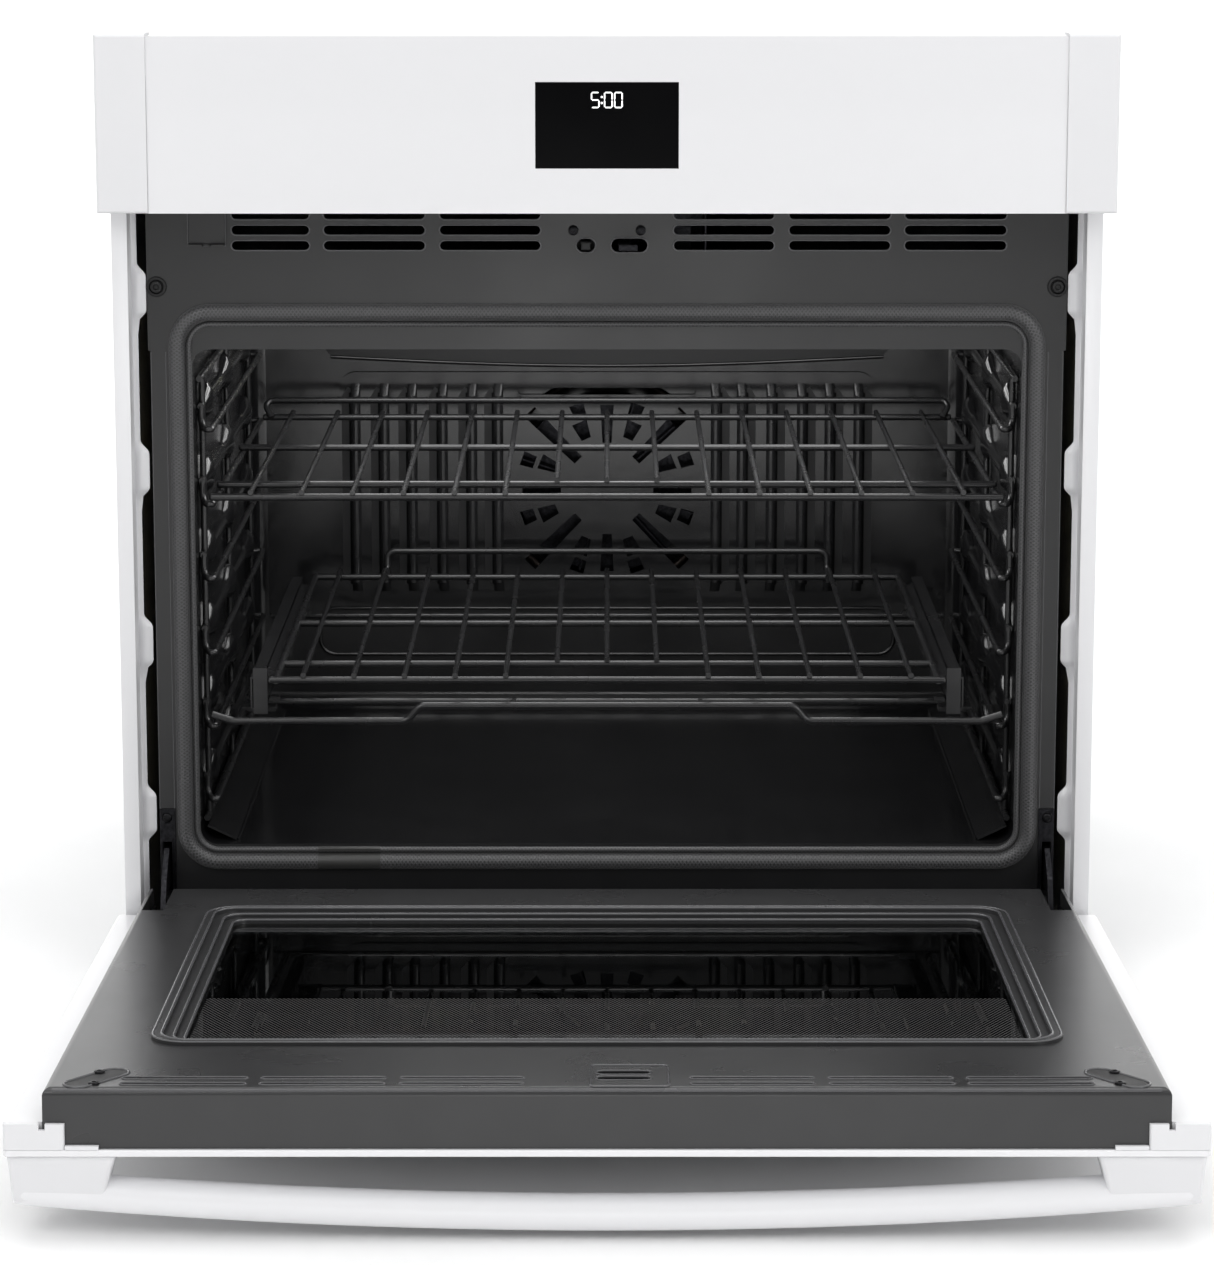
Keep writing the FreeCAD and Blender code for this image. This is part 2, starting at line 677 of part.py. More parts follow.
def panel_glass():
    half = PANEL_HALF - CAP_W - 0.15
    glass = box(-half, PANEL_FRONT, PANEL_LOW, half, PANEL_FRONT + 4, TOP - 1.6)
    window = box(-DISPLAY_HALF, -40, DISPLAY_LOW, DISPLAY_HALF, 0, DISPLAY_TOP)
    return glass.cut(window)


def display_window():
    gap = 0.1
    return box(
        -DISPLAY_HALF + gap, PANEL_FRONT, DISPLAY_LOW + gap,
        DISPLAY_HALF - gap, PANEL_FRONT + 4, DISPLAY_TOP - gap,
    )


def panel_end_cap():
    x0 = PANEL_HALF - CAP_W
    body = box(x0, PANEL_FRONT - 1.6, PANEL_LOW, PANEL_HALF, -1.3, TOP)
    body = fillet_where(body, 2.5, lambda e: e.CenterOfMass.x > x0 + 5 and e.CenterOfMass.y < -25)
    hollow = box(x0 - 1, PANEL_FRONT + 0.8, PANEL_LOW + 2.4, PANEL_HALF - 2.4, 0, TOP - 2.4)
    return body.cut(hollow)


def panel_tray():
    half = PANEL_HALF - CAP_W - 1
    front = PANEL_FRONT + 4.1
    back = box(-half, -3, 597, half, -1.8, 724)
    low = box(-half, front, 597, half, -1.8, 598.2)
    high = box(-half, front, 722.8, half, -1.8, 724)
    hole = cyl(12, 4, 150, -5, 660)
    return fuse([back, low, high]).cut(hole)


def control_board():
    board = box(-112, -15.6, 612, 112, -14, 708)
    pieces = [board]
    for x in (-95, -70, 60):
        pieces.append(box(x, -14, 622, x + 16, -6, 650))
    for x in (-30, 0, 30):
        pieces.append(cyl(6, 9, x, -14, 690))
    for x in (-80, -55, 70):
        pieces.append(box(x, -14, 670, x + 14, -9, 690))
    for x in (-104, 104):
        for z in (618, 702):
            pieces.append(cyl(3, 11.2, x, -14.2, z))
    return fuse(pieces)


def panel_supports():
    pieces = []
    for side in (-1, 1):
        x = side * 300
        foot = box(x - 14, FRAME_Y - 1.3, 606, x + 14, FRAME_Y - 0.1, 676)
        web = box(x - 0.6, -1.7, 606, x + 0.6, FRAME_Y - 0.5, 676)
        pad = box(x - 14, -1.7, 606, x + 14, -0.5, 676)
        pieces.append(fuse([foot, web, pad]))
    return pieces


def panel_bracket():
    upright = box(-315.9, 20.9, 565, -288.4, 22.1, 604)
    flange = box(-315.9, 15.2, 565, -288.4, 22.1, 566.4)
    notch = cyl(3.5, 4, -302, 15.2, 564, Z_AXIS)
    return fuse([upright, flange]).cut(notch)


# ---- air path, latch, switch --------------------------------------------------------
BLOWER_Y = 492.0
BLOWER_Z = 600.0
BLOWER_R = 27.0


def air_duct():
    outer = box(-312, 26, 558, 312, 440, 598).cut(box(-42, 20, 550, 74, 112, 605))
    inner = box(-311, 20, 559, 311, 445, 597).cut(box(-43, 20, 550, 75, 113, 605))
    return outer.cut(inner)


def blower_housing():
    outer = box(-118, 441, 558, 118, 532, 640)
    inner = box(-116.8, 442.2, 559.2, 116.8, 530.8, 638.8)
    inlet = box(-110, 438, 562, 110, 446, 594)
    bore = cyl(3.0 + PIN_CLEAR, 260, -130, BLOWER_Y, BLOWER_Z, X_AXIS)
    return cut(outer.cut(inner), [inlet, bore])


def blower_wheel():
    pieces = [cyl(3.0, 262, -121, BLOWER_Y, BLOWER_Z, X_AXIS)]
    for x in (-105, -1, 103):
        pieces.append(cyl(BLOWER_R, 2, x, BLOWER_Y, BLOWER_Z, X_AXIS))
    for n in range(20):
        blade = box(-105, -0.6, BLOWER_R - 8, 105, 0.6, BLOWER_R - 0.3)
        blade.rotate(Vector(0, 0, BLOWER_R - 4), X_AXIS, 25)
        blade.rotate(Vector(0, 0, 0), X_AXIS, 18 * n)
        blade.translate(Vector(0, BLOWER_Y, BLOWER_Z))
        pieces.append(blade)
    return fuse(pieces)


def blower_motor():
    body = cyl(24, 34, 119, BLOWER_Y, BLOWER_Z, X_AXIS)
    bore = cyl(3.0 + PIN_CLEAR, 60, 100, BLOWER_Y, BLOWER_Z, X_AXIS)
    foot = box(121, BLOWER_Y - 20, 558, 149, BLOWER_Y + 20, BLOWER_Z - 14)
    return fuse([body, foot]).cut(bore)


def latch_housing():
    """Motor box behind the frame, with the fixed pivot pin of the latch hook."""
    shelf = box(-2, 26, 553, 66, 106, 554.5)
    motor = box(34, 66, 554.5, 64, 104, 596)
    pin = cyl(PIN_R, 18, LATCH_X - 4, LATCH_PIVOT_Y, 554, Z_AXIS)
    return fuse([shelf, motor, pin])


def latch_hook():
    z0 = LATCH_Z - 2
    x0 = LATCH_X - 8
    arm = box(x0, 4, z0, x0 + 8, LATCH_PIVOT_Y, z0 + 4)
    tip = box(x0, 4, z0, x0 + 14, 9, z0 + 4)
    eye = cyl(8, 4, LATCH_X - 4, LATCH_PIVOT_Y, z0, Z_AXIS)
    tail = box(x0 + 1, LATCH_PIVOT_Y, z0, x0 + 7, LATCH_PIVOT_Y + 12, z0 + 4)
    bore = cyl(PIN_R + PIN_CLEAR, 20, LATCH_X - 4, LATCH_PIVOT_Y, 555, Z_AXIS)
    return fuse([arm, tip, eye, tail]).cut(bore)


def door_switch():
    body = box(-34, 38, 556, -5, 62, 575)
    ear = box(-40, 26, 554.6, -5, 62, 556)
    guide = box(-19.7, 30, 562, -12.3, 70, 568.4)
    return fuse([body, ear]).cut(guide)


def switch_plunger():
    stem = box(-19.5, 14.4, 562.2, -12.5, 54, 568.2)
    edges = [e for e in stem.Edges if e.CenterOfMass.y < 15]
    return stem.makeFillet(1.2, edges)


# ---- hinges -------------------------------------------------------------------------
def hinge_receiver():
    x0, x1 = HINGE_X - 6.5, HINGE_X + 5.3
    face = box(x0, FRAME_Y - 1.5, 58, x1, FRAME_Y - 0.1, 127)
    face = face.cut(box(HINGE_X - 3.6, 10, 62, HINGE_X + 3.6, 40, 101))
    face = face.cut(cyl(2.6, 5, HINGE_X, FRAME_Y - 3, 120))
    outer = box(HINGE_X - 5.0, 24.2, 56, HINGE_X + 3.6, 76, 106)
    inner = box(HINGE_X - 3.6, 20, 57.5, HINGE_X + 3.0, 74.5, 104.5)
    shell = outer.cut(inner)
    bridge = box(HINGE_X - 4.0, FRAME_Y - 0.6, 60.2, HINGE_X - 3.6, 25, 101.8)
    return fuse([face, shell, bridge])


def hinge_arm():
    """Fixed arm from the receiver to the pivot, bored for the door's hinge pin."""
    outline = [(66, 66), (66, 96), (16, 97), (-6, 78), (-22.5, 44), (-21, 36), (-13, 36), (0, 60)]
    points = [Vector(HINGE_X - 2, y, z) for y, z in outline]
    plate_ = prism(points, Vector(4, 0, 0))
    eye = cyl(5.5, 4, HINGE_X - 2, HINGE_Y, HINGE_Z, X_AXIS)
    bore = cyl(PIN_R + PIN_CLEAR, 10, HINGE_X - 5, HINGE_Y, HINGE_Z, X_AXIS)
    slim = cyl(30, 10, HINGE_X - 5, 12, 42, X_AXIS).common(box(330, -7, 30, 350, 40, 66))
    arm = fuse([plate_, eye]).cut(bore)
    keep = box(330, -24.2, 34, 350, 80, 100)
    return arm.common(keep).cut(slim)


# ---- door (closed pose) -------------------------------------------------------------
def door_front_glass():
    glass = door_box(-PANEL_HALF + 0.25, 0, 0, PANEL_HALF - 0.25, DOOR_H, GLASS_T)
    return glass.makeFillet(1.0, [e for e in glass.Edges if e.CenterOfMass.y < DOOR_Y + 0.1])


def door_rail():
    """White side rail: a channel along the edge of the door."""
    outer = door_box(LINER_HALF + 0.6, 0.5, GLASS_T + 0.1, PANEL_HALF, DOOR_H - 5.6, RAIL_DEPTH)
    outer = fillet_where(outer, 3.0, lambda e: e.CenterOfMass.x > PANEL_HALF - 0.1)
    inner = door_box(LINER_HALF + 2.2, 2.2, 0, PANEL_HALF - 2.2, DOOR_H - 8, RAIL_DEPTH - 2)
    return outer.cut(inner)


def corner_cap():
    """End cap at the upper corner of the door, folded over the rail and the liner."""
    x0 = PANEL_HALF - 38.6
    cap = door_box(x0, DOOR_H - 3.2, GLASS_T + 0.1, PANEL_HALF, DOOR_H, RAIL_DEPTH)
    cap = fillet_where(cap, 2.0, lambda e: along(e, Y_AXIS) and e.CenterOfMass.z > 590)
    skirt = door_box(LINER_HALF + 3, DOOR_H - 5.4, GLASS_T + 0.1, PANEL_HALF, DOOR_H - 3, RAIL_DEPTH)
    notch = door_box(x0 + 12, DOOR_H - 4, RAIL_DEPTH - 4, x0 + 16, DOOR_H + 1, RAIL_DEPTH + 1)
    return fuse([cap, skirt]).cut(notch)


def glass_clip():
    x1 = PANEL_HALF - 38.9
    return door_box(x1 - 21, DOOR_H - 3.2, GLASS_T + 0.1, x1, DOOR_H, GLASS_T + 2.6)


POCKET = (HINGE_X - 8.0, HINGE_X + 8.0)
LATCH_SLOTS = (525.5, 538.7)


def door_liner():
    low_s = 3.0
    high_s = 561.5
    outer = door_box(-LINER_HALF, low_s, GLASS_T + 0.3, LINER_HALF, high_s, DOOR_DEPTH)
    outer = fillet_where(outer, 5.0, lambda e: e.CenterOfMass.y > DOOR_Y + DOOR_DEPTH - 0.1)
    inner = door_box(
        -LINER_HALF + 1, low_s + 1, 0, LINER_HALF - 1, high_s - 1, DOOR_DEPTH - 1
    )
    inner = fillet_where(inner, 4.0, lambda e: e.CenterOfMass.y > DOOR_Y + DOOR_DEPTH - 1.1)
    y0, y1 = DOOR_Y + DOOR_DEPTH - 3, DOOR_Y + DOOR_DEPTH + 1
    tools = [inner]
    tools.append(plate(
        -WINDOW_HALF + 5, WINDOW_HALF - 5, DOOR_LOW + WINDOW_S0 + 5,
        DOOR_LOW + WINDOW_S1 - 5, 22, y0, y1,
    ))
    for side in (-1, 1):
        a, b = sorted((side * POCKET[0], side * POCKET[1]))
        tools.append(door_box(a, 0, GLASS_T + 2, b, 78, DOOR_DEPTH + 1))
        for s in (525, 551):
            tools.append(cyl(2.0, 5, side * 322, y0, DOOR_LOW + s))
    for s in LATCH_SLOTS:
        tools.append(slot(10.5, DOOR_LOW + s, 34, 8, y0, y1))
    for a, b in VENT_SPANS:
        for side in (-1, 1):
            for s in (538, 551):
                tools.append(slot(side * (a + b + 6) / 2, DOOR_LOW + s, b - a, 3, y0, y1))
    return cut(outer, tools)


def window_bead():
    """Stepped frame that holds the inner glass in the liner."""
    z0, z1 = DOOR_LOW + WINDOW_S0, DOOR_LOW + WINDOW_S1
    t = DOOR_Y + DOOR_DEPTH
    ring = plate(-WINDOW_HALF, WINDOW_HALF, z0, z1, 25, t + 0.1, t + 2.2)
    collar = plate(
        -WINDOW_HALF + 5.4, WINDOW_HALF - 5.4, z0 + 5.4, z1 - 5.4, 21, t - 6.5, t + 1
    )
    body = fuse([ring, collar])
    hole = plate(-WINDOW_HALF + 22, WINDOW_HALF - 22, z0 + 22, z1 - 22, 12, t - 8, t + 4)
    step_1 = plate(-WINDOW_HALF + 8, WINDOW_HALF - 8, z0 + 8, z1 - 8, 20, t - 0.6, t + 4)
    step_2 = plate(-WINDOW_HALF + 15, WINDOW_HALF - 15, z0 + 15, z1 - 15, 16, t - 3.4, t + 4)
    return cut(body, [hole, step_1, step_2])


def pane(half, s0, s1, t0, t1):
    return door_box(-half, s0, t0, half, s1, t1)


def door_insulation():
    outer = door_box(-326, 10, 6.5, 326, 500, 20)
    inner = door_box(-298, 66, 0, 298, 464, 30)
    return outer.cut(inner)


def hinge_body():
    """Channel inside the door with the hinge pin."""
    x_in = HINGE_X - 5.4
    x_out = HINGE_X + 5.4
    cheeks = [
        door_box(x_in - 2, 6, 6.0, x_in, 150, 30),
        door_box(x_out, 6, 6.0, x_out + 2, 150, 30),
        door_box(x_in - 2, 60, 6.0, x_out + 2, 150, 8.0),
    ]
    pin = cyl(PIN_R, x_out - x_in + 4, x_in - 2, HINGE_Y, HINGE_Z, X_AXIS)
    return fuse(cheeks + [pin])


def door_screws():
    pieces = []
    y = DOOR_Y + DOOR_DEPTH
    for side in (-1, 1):
        for s in (525, 551):
            head = cyl(3.6, 1.6, side * 322, y + 0.05, DOOR_LOW + s)
            shank = cyl(1.9, 9, side * 322, y - 8, DOOR_LOW + s)
            pieces.append(fuse([head, shank]))
    return Part.makeCompound(pieces)


POST_IN = 315.5
POST_OUT = 376.0


def bow(x):
    """How far the bar stands out beyond its ends, at x."""
    return HANDLE_BOW * (1 - (x / POST_IN) ** 2)


def handle_bar():
    """Bowed bar between the posts, oval in section."""
    z = DOOR_LOW + HANDLE_S
    sections = []
    steps = 16
    for n in range(steps + 1):
        x = -POST_OUT + 8 + (2 * POST_OUT - 16) * n / steps
        y = DOOR_Y - HANDLE_GAP + HANDLE_BOW - HANDLE_THICK / 2 - bow(x)
        ellipse = Part.Ellipse(Vector(x, y, z), 12.5, HANDLE_THICK / 2)
        shape = ellipse.toShape()
        shape.rotate(Vector(x, y, z), Vector(0, 1, 0), 90)
        sections.append(Part.Wire(shape))
    return Part.makeLoft(sections, True, False)


def handle_post():
    """Tapered foot that carries an end of the bar off the door."""
    z = DOOR_LOW + HANDLE_S
    y0 = DOOR_Y - 0.1
    reach = HANDLE_GAP - HANDLE_BOW + HANDLE_THICK * 0.45
    rings = []
    for k, y in ((0.0, y0), (0.55, y0 - reach * 0.55), (1.0, y0 - reach)):
        x0 = POST_IN - 8 * (1 - k)
        x1 = POST_OUT - 2 * k
        half = 18 - 7 * k
        ring = Part.makePolygon([
            Vector(x0, y, z - half), Vector(x1, y, z - half),
            Vector(x1, y, z + half), Vector(x0, y, z + half), Vector(x0, y, z - half),
        ])
        rings.append(ring)
    return Part.makeLoft(rings, True, True)


# ---- write every piece --------------------------------------------------------------
def main():
    save("base_pan", base_pan())
    save("outer_case", outer_case())
    save("rear_cover", rear_cover())
    save("case_screws", case_screws())
    save("terminal_box", terminal_box())
    save("cable_gland", cable_gland())

    save("front_frame", front_frame())
    gasket = door_gasket()
    save("door_gasket", gasket)
    save("gasket_splice", gasket_splice(gasket))
    save_pair("side_trim", side_trim())
    save("bottom_trim", bottom_trim())
    save("frame_bumpers", frame_bumpers())
    save("frame_screws", frame_screws())

    save("cavity_liner", cavity_liner())
    save("insulation_blanket", insulation())
    save("convection_cover", convection_cover())
    save("convection_element", convection_element())
    save("convection_fan", convection_fan())
    save("fan_motor", fan_motor())
    save("broil_element", broil_element())
    save("bake_element", bake_element())
    save("oven_lamp", oven_lamp())
    save("lamp_lens", lamp_lens())
    save("temperature_probe", temperature_probe())
    save("ladder_rack_right", ladder_rack(1))
    save("ladder_rack_left", ladder_rack(-1))
    save("top_rack", top_rack())
    save("lower_rack", lower_rack())
    save("glide_slides", Part.makeCompound(both(glide_slide())))
    save("glide_rails", Part.makeCompound(both(glide_rail())))
    save("glide_frame", glide_frame())

    save("panel_glass", panel_glass())
    save("display_window", display_window())
    save("panel_end_caps", Part.makeCompound(both(panel_end_cap())))
    save("panel_tray", panel_tray())
    save("control_board", control_board())
    save("panel_brackets", Part.makeCompound(panel_supports() + [panel_bracket()]))

    save("air_duct", air_duct())
    save("blower_housing", blower_housing())
    save("blower_wheel", blower_wheel())
    save("blower_motor", blower_motor())
    save("latch_housing", latch_housing())
    save("latch_hook", latch_hook())
    save("door_switch", door_switch())
    save("switch_plunger", switch_plunger())

    save("hinge_receivers", Part.makeCompound(both(hinge_receiver())))
    save("hinge_arms", Part.makeCompound(both(hinge_arm())))

    save("door_front_glass", opened(door_front_glass()))
    rails = both(door_rail())
    save("door_rails", opened(Part.makeCompound(rails)))
    save("door_corner_caps", opened(Part.makeCompound(both(corner_cap()) + both(glass_clip()))))
    save("door_liner", opened(door_liner()))
    save("window_bead", opened(window_bead()))
    save("inner_glass", opened(pane(WINDOW_HALF - 7, WINDOW_S0 + 7, WINDOW_S1 - 7, 32, 36.4)))
    save("middle_glass", opened(pane(WINDOW_HALF - 14, WINDOW_S0 + 14, WINDOW_S1 - 14, 24, 27)))
    save("door_insulation", opened(door_insulation()))
    save("hinge_bodies", opened(Part.makeCompound(both(hinge_body()))))
    save("door_screws", opened(door_screws()))
    bar = handle_bar()
    posts = [post.cut(bar) for post in both(handle_post())]
    save("handle_bar", opened(bar))
    save("handle_posts", opened(Part.makeCompound(posts)))


main()
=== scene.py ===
import json
import math

import bmesh
import bpy
from bpy.props import FloatProperty, FloatVectorProperty, IntProperty, PointerProperty
from mathutils import Matrix, Vector


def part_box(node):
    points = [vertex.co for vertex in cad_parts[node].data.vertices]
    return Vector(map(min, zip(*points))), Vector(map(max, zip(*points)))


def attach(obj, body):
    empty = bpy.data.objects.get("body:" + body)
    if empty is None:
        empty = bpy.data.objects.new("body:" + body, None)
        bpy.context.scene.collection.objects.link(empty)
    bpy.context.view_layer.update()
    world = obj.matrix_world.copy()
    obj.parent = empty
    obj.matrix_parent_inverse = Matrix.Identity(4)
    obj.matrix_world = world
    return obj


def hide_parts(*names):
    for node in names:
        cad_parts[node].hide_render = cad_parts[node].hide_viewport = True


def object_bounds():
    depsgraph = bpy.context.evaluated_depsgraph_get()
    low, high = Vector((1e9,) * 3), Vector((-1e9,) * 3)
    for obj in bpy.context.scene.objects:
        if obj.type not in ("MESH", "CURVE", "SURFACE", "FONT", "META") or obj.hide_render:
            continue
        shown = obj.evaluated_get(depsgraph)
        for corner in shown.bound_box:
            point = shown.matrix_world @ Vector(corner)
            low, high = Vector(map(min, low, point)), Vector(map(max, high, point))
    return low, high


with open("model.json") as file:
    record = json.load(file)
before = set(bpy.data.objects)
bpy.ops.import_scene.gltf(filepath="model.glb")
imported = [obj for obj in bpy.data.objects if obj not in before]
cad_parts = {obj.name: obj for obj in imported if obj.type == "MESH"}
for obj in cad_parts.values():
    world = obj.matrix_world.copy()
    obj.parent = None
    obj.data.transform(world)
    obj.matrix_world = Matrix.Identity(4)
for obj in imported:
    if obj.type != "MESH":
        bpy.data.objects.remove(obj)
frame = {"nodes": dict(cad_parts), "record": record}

bl_info = {
    "name": "Single Wall Oven",
    "version": (1, 0, 0),
    "blender": (4, 5, 0),
    "location": "3D View > Sidebar > Wall Oven",
    "description": "Finishes and fine parts of a built-in wall oven with a drop-down door",
    "category": "Object",
}

MM = 0.001
CAD_BOX = [[float(x) for x in corner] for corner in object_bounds()]

OPEN_DEG = 87.05  # how far the door is turned from shut in the rest pose
HINGE = Vector((0.0, -18.5, 40.0)) * MM
# Millimetres from here on.
DOOR_LOW = 26.5  # lower edge of the shut door
DOOR_FACE = -29.1  # outer face of the shut door
DOOR_INNER = DOOR_FACE + 43.0  # inner face of the shut door's panel
FRAME_FACE = 22.4  # a hair in front of the dark frame
BACK_WALL = 489.3  # a hair in front of the cavity's back wall
# Ends of the vents of one row, on each side of the middle.
VENTS = ((50.5, 126.0), (137.7, 213.7), (225.0, 301.4))
SCREW_DISH = 322.0  # the door's screw dishes, each side of the middle
BUMPER = 341.0  # the frame's bumpers and lower screws, each side of the middle

EVEN = (1, 1, 1)  # a pattern that isn't stretched
NOISE_SPAN = (0.3, 0.7)  # the values between which nearly all of a noise lies
SPECK_MM, CRYSTAL_MM, STRAND_MM = 3.2, 9, 2.4  # enamel specks, zinc crystals, braid strands


# ---------------------------------------------------------------- small helpers

def linear(code):
    """Linear RGBA of an sRGB hex code."""
    values = [int(code[i:i + 2], 16) / 255 for i in (1, 3, 5)]
    return [v / 12.92 if v <= 0.04045 else ((v + 0.055) / 1.055) ** 2.4 for v in values] + [1.0]


def node(tree, kind, inputs=None, links=None, stops=(), **settings):
    """Adds a node with its settings, its input values, its links and its colour stops."""
    made = tree.nodes.new(kind)
    for name, value in settings.items():
        setattr(made, name, value)
    for name, value in (inputs or {}).items():
        made.inputs[name].default_value = value
    for name, source in (links or {}).items():
        tree.links.new(source, made.inputs[name])
    if stops:
        elements = made.color_ramp.elements
        while len(elements) < len(stops):
            elements.new(0.5)
        for element, (position, code) in zip(elements, stops):
            element.position = position
            element.color = linear(code)
    return made


def follow(tree, shader, socket, pattern, values):
    """Makes a shader socket follow a pattern: Normal as a relief values mm deep, a colour by its
    stops, and any other socket from the first of two values to the second."""
    if socket == "Normal":
        made = node(tree, "ShaderNodeBump", {"Strength": 1.0, "Distance": values * MM},
                    {"Height": pattern})
    elif socket.endswith("Color"):
        made = node(tree, "ShaderNodeValToRGB", links={"Fac": pattern}, stops=values)
    else:
        made = node(tree, "ShaderNodeMapRange",
                    {"From Min": NOISE_SPAN[0], "From Max": NOISE_SPAN[1],
                     "To Min": values[0], "To Max": values[1]}, {"Value": pattern})
    tree.links.new(made.outputs[0], shader.inputs[socket])


def coating(name, patterns=(), **constants):
    """A material, its tree and its shader, with constants set on the shader's own sockets.

    Each pattern is a noise: its grain in mm, its detail, its stretch, and the sockets that
    follow it."""
    made = bpy.data.materials.new(name)
    made.use_nodes = True
    tree = made.node_tree
    tree.nodes.clear()
    shader = node(tree, "ShaderNodeBsdfPrincipled")
    node(tree, "ShaderNodeOutputMaterial", links={"Surface": shader.outputs["BSDF"]})
    for label, value in constants.items():
        shader.inputs[label.replace("_", " ")].default_value = value
    for grain_mm, detail, stretch, sockets in patterns:
        coords = node(tree, "ShaderNodeTexCoord")
        scaled = node(tree, "ShaderNodeMapping", {"Scale": stretch},
                      {"Vector": coords.outputs["Object"]})
        noise = node(tree, "ShaderNodeTexNoise", {"Scale": 1 / (grain_mm * MM), "Detail": detail},
                     {"Vector": scaled.outputs["Vector"]})
        for socket, values in sockets.items():
            follow(tree, shader, socket, noise.outputs["Fac"], values)
    return made, tree, shader


# ---------------------------------------------------------------- finishes

def enamel(name, colour, roughness, peel_mm, peel_depth, coat=0.0, spread_by=0.06, mottled=None):
    """Fired or baked enamel: an even colour, a soft sheen, and a faint orange peel."""
    patterns = [(60, 3, EVEN, {"Roughness": (roughness - spread_by, roughness + spread_by)}),
                (peel_mm, 1, EVEN, {"Normal": peel_depth})]
    if mottled:
        patterns.append((38, 3, EVEN, {"Base Color": ((0.35, colour), (0.7, mottled))}))
    return coating(name, patterns, Base_Color=linear(colour), IOR=1.5, Coat_Weight=coat,
                   Coat_Roughness=0.12)[0]


def porcelain():
    # Vitreous enamel fired on steel: nearly black and glassy, with tiny pale specks and slow waves.
    made, tree, shader = coating(
        "vitreous_enamel", [(70, 3, EVEN, {"Roughness": (0.12, 0.24)}),
                            (16, 2, EVEN, {"Normal": 0.07})], IOR=1.54)
    coords = node(tree, "ShaderNodeTexCoord")
    specks = node(tree, "ShaderNodeTexVoronoi", {"Scale": 1 / (SPECK_MM * MM), "Randomness": 1.0},
                  {"Vector": coords.outputs["Object"]})
    follow(tree, shader, "Base Color", specks.outputs["Distance"],
           ((0.0, "#4A4A4C"), (0.09, "#1A1A1B"), (0.14, "#141415")))
    return made


def enamelled_wire():
    # Enamelled steel wire: the coat pools unevenly round the wire, which breaks up its highlight.
    return coating("wire_enamel",
                   [(45, 2, EVEN, {"Base Color": ((0.3, "#1B1B1C"), (0.7, "#202021"))}),
                    (60, 2, EVEN, {"Roughness": (0.24, 0.3)}),
                    (30, 1, EVEN, {"Normal": 0.006})], IOR=1.54)[0]


def plastic(name, colour, roughness, grain_mm=0.9, depth=0.03):
    """Moulded plastic or rubber: the mould's fine grain in the sheen."""
    return coating(name, [(25, 2, EVEN, {"Roughness": (roughness - 0.05, roughness + 0.05)}),
                          (grain_mm, 1, EVEN, {"Normal": depth})],
                   Base_Color=linear(colour), IOR=1.46)[0]


def painted_glass(name, colour):
    """Float glass painted on its back: the colour lies under a flat, hard polish."""
    return coating(name, [(120, 2, EVEN, {"Roughness": (0.07, 0.11)}),
                          (90, 1, EVEN, {"Normal": 0.02})],
                   Base_Color=linear(colour), IOR=1.52, Coat_Weight=0.6, Coat_Roughness=0.03)[0]


def display_glass():
    # Glass with an anti-glare coat over a black back: nearly no reflection.
    return coating("anti_glare_glass", [(80, 2, EVEN, {"Roughness": (0.12, 0.18)}),
                                        (60, 1, EVEN, {"Normal": 0.01})],
                   Base_Color=linear("#020203"), IOR=1.52, Specular_IOR_Level=0.06)[0]


def clear_glass(name, tint, roughness=0.0):
    """Float or blown glass with a tint: clear, with slow waves in what it reflects."""
    return coating(name, [(140, 1, EVEN, {"Normal": 0.02})], Base_Color=linear(tint),
                   Roughness=roughness, IOR=1.5, Transmission_Weight=1.0)[0]


def metal(name, colour, dull, roughness, grain_mm, stretch=EVEN, depth=0.02, spread_by=0.08):
    """Bare or plated metal: colour and sheen vary together with the grain."""
    grain = {"Base Color": ((0.3, dull), (0.7, colour)),
             "Roughness": (roughness + spread_by, roughness - spread_by), "Normal": depth}
    return coating(name, [(grain_mm, 4, stretch, grain)], Metallic=1.0)[0]


def galvanised():
    # Hot-dip zinc: flat crystals about 9 mm across, each with its own grey and sheen.
    made, tree, shader = coating("hot_dip_zinc", [(2.5, 2, EVEN, {"Normal": 0.03})], Metallic=1.0)
    coords = node(tree, "ShaderNodeTexCoord")
    crystals = node(tree, "ShaderNodeTexVoronoi",
                    {"Scale": 1 / (CRYSTAL_MM * MM), "Randomness": 1.0},
                    {"Vector": coords.outputs["Object"]})
    tone = node(tree, "ShaderNodeSeparateColor", links={"Color": crystals.outputs["Color"]})
    follow(tree, shader, "Base Color", tone.outputs["Red"], ((0.0, "#A3A5A7"), (1.0, "#B4B6B8")))
    sheen = node(tree, "ShaderNodeMapRange", {"To Min": 0.42, "To Max": 0.52},
                 {"Value": tone.outputs["Green"]})
    tree.links.new(sheen.outputs["Result"], shader.inputs["Roughness"])
    return made


def glass_wool():
    # Loose glass fibre: matt, pale yellow, with strands and hollows.
    strands = {"Base Color": ((0.3, "#A89561"), (0.7, "#E2D7A6")), "Normal": 1.4}
    return coating("glass_wool_batt", [(5, 6, (1, 4, 1), strands)], Roughness=0.95,
                   Sheen_Weight=0.3)[0]


